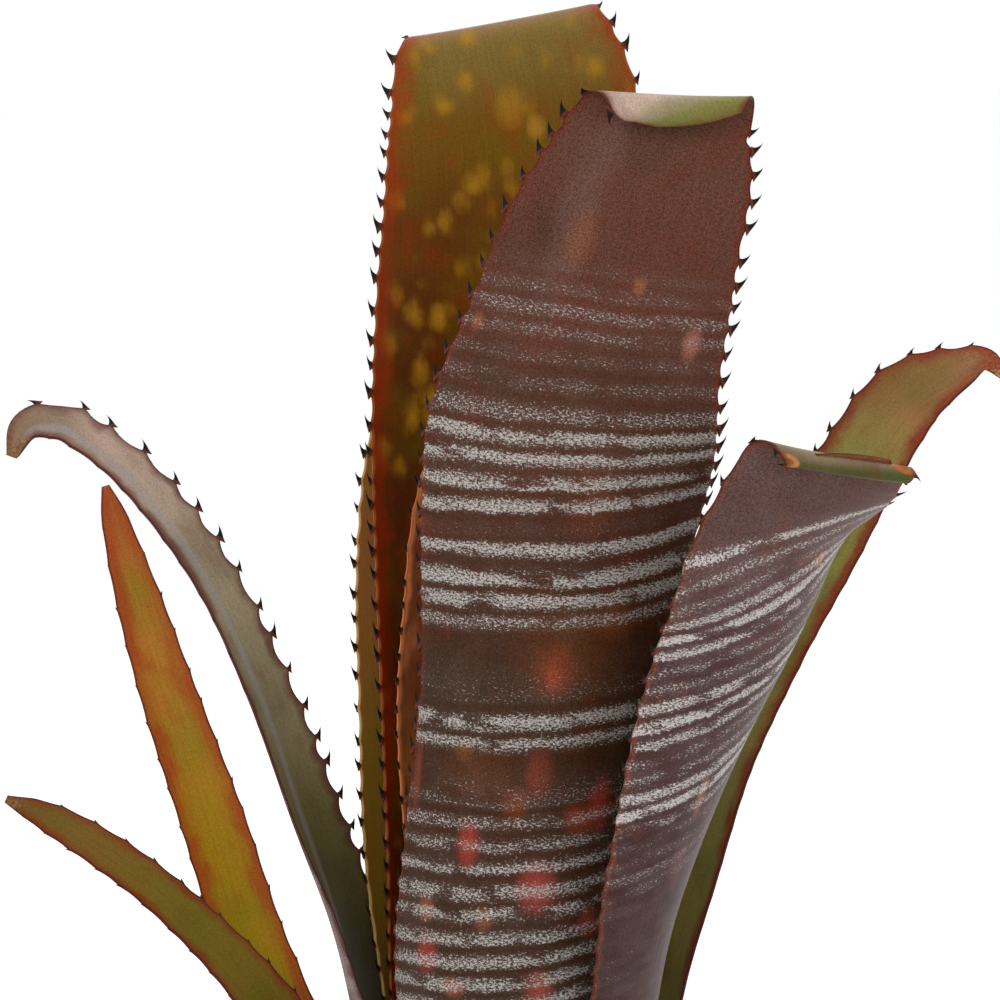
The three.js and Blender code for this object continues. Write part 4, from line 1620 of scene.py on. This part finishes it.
LEAVES = (
    Leaf(
        "inner_leaf",
        0,
        (
            sheath(-CROWN_DEPTH, 0, 100, 190), sheath(17, 4.5, 100, 180), sheath(57, 12, 100, 160),
            blade(104, 17, 106, 280, 70, 140), blade(148, 16, 109, 280, 68, 130),
            blade(192, 15, 113, 280, 66, 110), blade(221, 13, 114, 280, 58, 90),
            blade(250, 10, 114, 280, 50, 70), blade(279, 7, 107, 280, 32, 50),
            blade(299, 6, 95, 280, 6, 40),
        ),
        # Painted glow: this leaf's colours are far lighter than its own and its depth is low, standing in
        # for light that shines through the leaf in the gap behind the front leaf.
        LeafSkin(
            inner=((0.0, "8a5a30"), (0.4, "8f4f2a"), (0.75, "7a3a22"), (1.0, "6a3020")),
            outer=((0.0, "ffd49c"), (0.35, "ffd8a4"), (0.65, "ffc890"), (1.0, "d07c50")),
            margin="ff9c5c",
            margin_strength=0.6,
            edging="a0502c",
            mottle="f0a050",
            mottle_strength=0.3,
            bloom_and_sheen_strength=0.0,
            depth=0.1,
        ),
        margin=Margin(pitch=8.0, length=3.2, dip=0.9, start=95.0, seed=3),
    ),
    Leaf(
        "front_leaf",
        1,
        (
            sheath(-CROWN_DEPTH, 0, -90, 190), sheath(17, 5, -90, 190), sheath(57, 14, -90, 170),
            blade(117, 22, -92, 90, 88, 140), blade(159, 24, -88, 90, 82, 125),
            blade(199, 26, -82, 90, 78, 110), blade(240, 29, -76.5, 90, 84, 95),
            blade(273, 32, -72, 88, 86, 75), blade(300, 35, -65, 87, 75, 60),
            blade(323, 39, -59, 86, 68, 45), blade(342, 44, -53, 88, 59, 28),
            blade(353, 48, -51, 90, 53, 14), blade(362, 50, -48, 90, 45, 8),
            blade(370, 53, -45, 90, 36, 6), blade(378, 55, -43, 90, 22, 6),
        ),
        LeafSkin(
            # The pale grey-brown stops near the tip, before it turns green, are partly the leaf's own
            # colour and partly a painted highlight on the top of the rolled tip.
            inner=(
                (0.0, "6a6030"), (0.4, "62602c"), (0.94, "9c8274"), (0.965, "dcc0ac"), (0.98, "b0a07c"),
                (0.99, "8c8a48"), (1.0, "86703c"),
            ),
            outer=(
                (0.0, "6a4030"), (0.3, "422414"), (0.5, "44240e"), (0.6, "4a2a16"), (0.72, "5e3424"),
                (0.85, "6c4032"), (1.0, "744a38"),
            ),
            margin="7c3422",
            mottle="3c2c14",
            mottle_strength=0.5,
            bloom_and_sheen="86665e",
            bloom_and_sheen_strength=0.1,
            grit=0.8,
            scurf=Scurf(
                lines=(
                    (66, 0.5), (73, 0.6), (80, 0.6), (87, 0.7), (94, 0.8), (101, 0.7), (107, 0.9),
                    (114, 0.8), (120, 0.9), (126, 1.0), (133, 0.9), (139, 0.9), (145, 0.9), (152, 0.9),
                    (158, 0.9), (165, 0.9), (171, 0.8), (178, 0.8), (184, 0.6), (200, 0.9), (206, 1.0),
                    (213, 0.5), (234, 0.8), (240, 1.0), (246, 1.0), (254, 1.0), (260, 0.4), (266, 1.0),
                    (272, 1.0), (279, 1.0), (285, 1.0), (291, 0.75), (299, 0.6), (306, 0.55),
                    (313, 0.65), (319, 0.7), (325, 0.55), (331, 0.4),
                ),
                slope=-0.15,
                sag=0.001,
                colour="a9a49e",
            ),
            flecks=flecks(
                Face.OUTER,
                (6, 226, 16, 16, "7c4218", 0.5), (-14, 190, 14, 9, "74401a", 0.45),
                (18, 236, 7, 6, "96501e", 0.5), (8, 270, 7, 12, "86481e", 0.4),
                (-14, 346, 6, 34, "8c7068", 0.3), (-11, 337, 5, 9, "a8643c", 0.4),
                (8, 330, 2, 3, "c07c40", 0.6), (-3, 375, 1.6, 1.6, "c87440", 0.7),
                (-33, 309, 2, 3, "c06a3c", 0.6), (26, 318, 3, 5, "d88a78", 0.6),
                (3, 221, 6, 8, "c04c28", 0.38), (3, 219, 2.5, 4, "d05830", 0.4),
                (-16, 170, 3.5, 7, "d04438", 0.65), (4, 160, 6, 8, "d85048", 0.65),
                (20, 184, 4, 8, "c84438", 0.6), (-4, 183, 4, 5, "9a4a22", 0.6),
                (2, 192, 4, 8, "a84428", 0.5), (-28, 150, 3, 4, "b8643c", 0.6),
                (-10, 150, 3, 4, "b06038", 0.55), (-18, 130, 4, 3, "c06848", 0.65),
                (26, 160, 4, 6, "9c5028", 0.55), (-20, 195, 3, 3, "8c5a24", 0.5),
                (-36, 185, 2, 12, "a85030", 0.5), (14, 180, 5, 5, "b04830", 0.65),
                (-27, 138, 4, 6, "b84030", 0.7), (6, 131, 4, 6, "cc5a48", 0.65),
                (20, 150, 4, 5, "b85038", 0.6),
            ),
        ),
        curl=Curl(361.5, 47, -51, -90, -1, 4.6, 0.05),
        margin=Margin(pitch=7.5, length=4.1, dip=1.1, start=95.0, stop=10.0, seed=5),
        across=41,
    ),
    Leaf(
        "back_leaf",
        2,
        (
            sheath(-CROWN_DEPTH, 0, 90, 190), sheath(17, 5, 90, 190), sheath(57, 14, 90, 170),
            blade(102, 20, 94, 270, 92, 150), blade(146, 21, 93, 270, 92, 135),
            blade(190, 23, 93, 270, 90, 115), blade(230, 25, 93, 270, 90, 100),
            blade(270, 27, 93, 270, 88, 80), blade(305, 29, 92, 270, 84, 62),
            blade(334, 31, 91, 270, 79, 44), blade(360, 33, 92, 270, 73, 24),
            blade(376, 34, 95, 270, 66, 14), blade(390, 34, 98, 270, 52, 8),
            blade(404, 35, 101, 270, 24, 8),
        ),
        LeafSkin(
            inner=(
                (0.0, "6a4016"), (0.5, "5a2c08"), (0.68, "5e2c08"), (0.8, "6c3a0c"), (0.88, "80580e"),
                (0.94, "8e7434"), (0.955, "a07c50"), (0.975, "b0826c"), (1.0, "94744a"),
            ),
            outer=((0.0, "7a5548"), (0.4, "6c4434"), (0.7, "5e4030"), (1.0, "6a4c3a")),
            margin="a83408",
            edging="b06830",
            margin_width=8.0,
            margin_strength=0.75,
            mottle="7c6408",
            mottle_strength=0.5,
            # Painted glow of light through the leaf, on its inner face.
            glow="c8901c",
            glow_strength=0.7,
            grit=0.45,
            roughness=0.38,
            scurf=Scurf(lines=bands(80.0, 7.0, 38, 0.55, 0.35, 1.7)),
            flecks=(
                flecks(
                    Face.INNER,
                    (-31, 400, 3.5, 5, "e8b894"), (-37, 360, 3, 5, "e0a078"),
                    ringed=True,
                )
                + flecks(
                    Face.INNER,
                    (-33, 350, 3, 11, "d8a024", 0.75), (-34, 368, 2, 8, "dca42c", 0.6),
                    (-35, 319, 3, 6, "e09c34", 0.75), (1, 372, 5, 7, "cc9026", 0.6),
                    (-6, 366, 3, 4, "d89c30", 0.6),
                )
            ),
        ),
        curl=Curl(377.5, 34, 97, 90, 10, 7, 0.03),
        margin=Margin(pitch=7.5, length=4.0, dip=1.0, start=110.0, stop=8.0, seed=7),
        across=41,
    ),
    Leaf(
        "back_left_leaf",
        3,
        (
            sheath(-CROWN_DEPTH, 0, 110, 180), sheath(17, 5, 110, 170), sheath(57, 14, 110, 145),
            blade(102, 22, 110, 285, 70, 108), blade(145, 29, 112, 280, 68, 95),
            blade(189, 33, 113, 278, 62, 75), blade(229, 37, 113, 275, 57, 60),
            blade(264, 40, 113, 275, 46, 45), blade(287, 41, 112, 275, 30, 30),
            blade(302, 43, 109, 275, 6, 20),
        ),
        # Painted light: the inner colours are lighter than the leaf's own and the depth is lowered, lifting
        # the strip that lies in shade between the back leaves.
        LeafSkin(
            inner=((0.0, "a8843c"), (0.5, "a07828"), (0.8, "b0703c"), (1.0, "a86c44")),
            outer=((0.0, "7a5548"), (0.4, "6c4a34"), (0.7, "5e4a2e"), (1.0, "6a4c3a")),
            margin="b07034",
            edging="f0c880",
            mottle="94801c",
            depth=0.8,
            scurf=Scurf(lines=bands(70.0, 8.0, 26, 0.5, 0.3, 2.1)),
        ),
        margin=Margin(pitch=8.0, length=3.4, dip=0.8, start=105.0, seed=9),
    ),
    Leaf(
        "right_leaf",
        4,
        (
            sheath(-CROWN_DEPTH, 0, -10, 190), sheath(17, 5.5, -10, 180), sheath(57, 15, -10, 150),
            blade(111, 19.5, -12, 174, 80, 108), blade(156, 33.5, -22, 163, 85, 102),
            blade(195, 52, -30, 150, 85, 92), blade(224, 65, -34, 139, 79, 74),
            blade(246, 74, -37.5, 128, 67, 48), blade(262, 82, -38.5, 120, 55, 24),
            blade(275, 89, -38, 116, 46, 12), blade(285, 94, -37.5, 114, 39, 10),
            blade(294, 97, -37, 114, 24, 10),
        ),
        LeafSkin(
            inner=(
                (0.0, "6a6030"), (0.4, "5a5c2a"), (0.88, "8c6c5c"), (0.92, "bca48c"), (0.94, "9c8868"),
                (0.955, "58642c"), (1.0, "465c1c"),
            ),
            outer=(
                (0.0, "745248"), (0.35, "46292a"), (0.7, "4e3030"), (0.86, "6c4e4a"), (0.93, "7a564e"),
                (1.0, "a0583c"),
            ),
            margin="8a4428",
            margin_width=2.0,
            mottle="583428",
            mottle_strength=0.4,
            bloom_and_sheen="86686a",
            bloom_and_sheen_strength=0.12,
            grit=0.8,
            scurf=Scurf(
                lines=worn_below(bands(42.0, 5.3, 45, 0.88, 0.22, 1.3), full=201.0, gone=148.0, least=0.3),
                half=1.8,
                slope=-0.27,
                haze=0.03,
                colour="b8b2ad",
            ),
            flecks=(
                flecks(Face.OUTER, (12, 262, 2, 3, "c07a5a"), ringed=True)
                + flecks(
                    Face.INNER,
                    (-20, 308, 3.5, 3.5, "d0904c"), (19, 303, 4, 5, "c8703c"),
                    (14, 318, 4, 4, "c87840"),
                    ringed=True,
                )
                + flecks(
                    Face.OUTER,
                    (-14, 195, 2, 8, "c88468", 0.6), (-16, 172, 4, 9, "8a5a50", 0.5),
                )
            ),
        ),
        curl=Curl(267, 84.7, -38.3, -63, -8, 6.8, 0.05),
        margin=Margin(pitch=8.5, length=3.2, dip=0.9, start=90.0, stop=8.0, seed=11),
        across=41,
    ),
    Leaf(
        "left_arching_leaf",
        5,
        (
            sheath(-CROWN_DEPTH, 0, -195, 190), sheath(17, 5, -195, 180), sheath(52, 13.5, -195, 140),
            blade(106, 29, 159, -12, 40, 92), blade(135, 35, 162, -18, 35, 88),
            blade(167, 44, 166, -30, 27, 78, 5), blade(199, 53.5, 169, -40, 20.5, 68, 10),
            blade(230, 67.5, 172, -48, 17.5, 55, 20), blade(253, 83.5, 174, -60, 16.5, 50, 35),
            blade(267, 98, 176, -75, 15, 40, 45), blade(273, 108, 177, -90, 14, 30, 45),
            blade(272, 117, 178, -110, 11, 25, 40), blade(264, 121, 179, -125, 4, 20, 30),
        ),
        LeafSkin(
            inner=(
                (0.0, "94785c"), (0.35, "52461a"), (0.5, "80784a"), (0.7, "b4a484"), (0.9, "ccb09c"),
                (1.0, "a48068"),
            ),
            outer=((0.0, "b49a94"), (0.4, "9a8480"), (0.7, "84706a"), (1.0, "7a6458")),
            margin="703a34",
            margin_width=3.4,
            mottle="5c5430",
            mottle_strength=0.4,
            bloom_and_sheen="b0a0a0",
            # A painted highlight along the midline.
            midline_highlight=0.5,
            midline_highlight_at=3.0,
            dry_from=0.965,
            roughness=0.5,
            grit=0.5,
            scurf=Scurf(lines=bands(70.0, 8.0, 22, 0.45, 0.3, 1.9), haze=0.15),
        ),
        margin=Margin(pitch=10.0, length=3.8, dip=1.6, start=105.0, stop=6.0, hands=(1.0, 0.35), seed=13),
        across=33,
    ),
    Leaf(
        "right_back_leaf",
        6,
        (
            sheath(-CROWN_DEPTH, 0, 35, 180), sheath(17, 5.5, 35, 160), sheath(52, 14, 35, 125),
            blade(102, 28, 41, 225, 40, 100), blade(140, 37, 39, 232, 35, 80),
            blade(174, 48, 38, 240, 32, 65), blade(206, 63, 35, 245, 30, 50),
            blade(234, 79, 32, 250, 28, 45), blade(259, 93, 30, 250, 26, 40),
            blade(276, 105, 28, 255, 23, 30, 15), blade(284, 116, 25, 260, 15, 20, 25),
            blade(287, 124, 23, 260, 7, 20, 30), blade(282, 129, 22, 250, 2, 20, 30),
        ),
        LeafSkin(
            inner=(
                (0.0, "b0a04c"), (0.35, "aca048"), (0.6, "a8a458"), (0.8, "acac58"), (0.92, "bc8454"),
                (1.0, "a07c54"),
            ),
            outer=((0.0, "8a6a60"), (0.4, "6a5a3a"), (0.8, "7a6440"), (1.0, "8a6a48")),
            margin="a03c2a",
            margin_width=5.5,
            margin_strength=0.9,
            mottle="76742c",
            dry_from=0.965,
            dry="d0a878",
            scurf=Scurf(lines=bands(70.0, 9.0, 22, 0.4, 0.3, 1.5)),
        ),
        margin=Margin(pitch=9.0, length=2.8, dip=0.9, start=120.0, hands=(0.3, 1.0), seed=15),
        across=31,
    ),
    Leaf(
        "left_low_leaf",
        7,
        (
            sheath(-CROWN_DEPTH, 0, -185, 138), sheath(15, 4.5, -187, 125), sheath(42, 13, -190, 95),
            blade(85, 39, 160, -40, 26, 78), blade(111, 58, 162, -50, 18, 55, 15),
            blade(133, 80, 164, -60, 14.5, 45, 25), blade(148, 101, 165, -70, 12.5, 35, 30),
            blade(156, 116, 165, -80, 9, 30, 30), blade(161, 127, 166, -80, 2, 20, 30),
        ),
        LeafSkin(
            inner=((0.0, "84742c"), (0.4, "846220"), (0.7, "847022"), (1.0, "865c28")),
            outer=((0.0, "c4a294"), (0.5, "b8948a"), (1.0, "8a6450")),
            margin="8c3418",
            margin_width=3.4,
            mottle="6c6a1c",
            dry_from=0.975,
        ),
        margin=Margin(pitch=9.0, length=1.8, dip=0.5, start=95.0, seed=17),
        across=29,
    ),
    Leaf(
        "left_back_leaf",
        8,
        (
            sheath(-CROWN_DEPTH, 0, -220, 150), sheath(15, 5.5, -220, 136), sheath(40, 18, -221, 105),
            blade(73, 57, 139, -60, 34, 90), blade(105, 72, 140, -70, 23, 55),
            blade(148, 89, 141, -75, 20, 40), blade(189, 106, 142, -80, 17, 35),
            blade(220, 119, 142, -80, 12.5, 30), blade(238, 126, 142, -80, 7, 20),
            blade(246, 129, 142, -80, 2, 20),
        ),
        LeafSkin(
            inner=(
                (0.0, "b0982c"), (0.35, "b89a16"), (0.6, "c0961c"), (0.8, "d08a34"), (1.0, "bc7434"),
            ),
            outer=((0.0, "c4a294"), (0.4, "b0806a"), (0.8, "a2583c"), (1.0, "9a4a28")),
            margin="bc4e22",
            margin_width=7.0,
            margin_strength=0.85,
            mottle="989018",
            mottle_strength=0.6,
            dry_from=0.985,
        ),
        margin=Margin(pitch=11.0, length=1.5, dip=0.4, start=110.0, seed=19),
        across=29,
    ),
    Leaf(
        "basal_leaf_front",
        7,
        (
            sheath(-CROWN_DEPTH, 0, -55, 112), sheath(10, 4, -55, 105), sheath(28, 13, -56, 82),
            blade(46, 26, -58, 122, 33, 60, 12), blade(61, 41, -60, 120, 24, 45, 32),
            blade(69, 56, -62, 118, 16, 35, 55), blade(71, 68, -63, 117, 9, 30, 75),
            blade(69, 76, -63, 117, 3, 20, 85),
        ),
        LeafSkin(
            inner=((0.0, "8a7a4a"), (0.5, "7a6a34"), (0.8, "7a5a30"), (1.0, "6a4a2c")),
            outer=((0.0, "c0a090"), (0.5, "a88870"), (1.0, "7a5a40")),
            margin="8a4a2a",
            mottle="8a7a30",
            dry_from=0.86,
        ),
        slot="basal_leaf_skin",
        margin=Margin(pitch=9.0, length=1.6, dip=0.4, start=50.0, seed=21),
        across=29,
    ),
    Leaf(
        "basal_leaf_right",
        8,
        (
            sheath(-CROWN_DEPTH, 0, 8, 98), sheath(8, 4, 8, 92), sheath(24, 14, 9, 76),
            blade(41, 28, 10, 190, 30, 55, 16), blade(52, 43, 11, 191, 22, 42, 42),
            blade(57, 57, 12, 192, 14, 35, 68), blade(56, 68, 13, 193, 3, 20, 85),
        ),
        LeafSkin(
            inner=((0.0, "8a7a4a"), (0.5, "7a6230"), (0.8, "7a5230"), (1.0, "6a4a2c")),
            outer=((0.0, "c0a090"), (0.5, "a8806a"), (1.0, "7a5a40")),
            margin="8a4a2a",
            mottle="7a6a30",
            dry_from=0.8,
        ),
        slot="basal_leaf_skin",
        margin=Margin(pitch=9.0, length=1.6, dip=0.4, start=46.0, seed=23),
        across=29,
    ),
)


def corners(box: tuple[Vector, Vector]) -> list[list[float]]:
    """Lists a box's two corners."""
    return [list(corner) for corner in box]


def main() -> None:
    """Builds the plant in its pot and the studio round it."""
    logging.basicConfig(level=logging.INFO, format="%(name)s %(message)s")
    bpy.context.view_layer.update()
    pot = Pot()
    pot.build()
    PottingMix(pot).build()
    StemBark().dress(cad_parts["stem"])
    claw, horn = Claw().build(), ClawFinish().material()
    for leaf in LEAVES:
        leaf.build(claw, horn)
    bpy.data.objects.remove(claw)
    Studio().build()


if __name__ == "__main__":
    main()
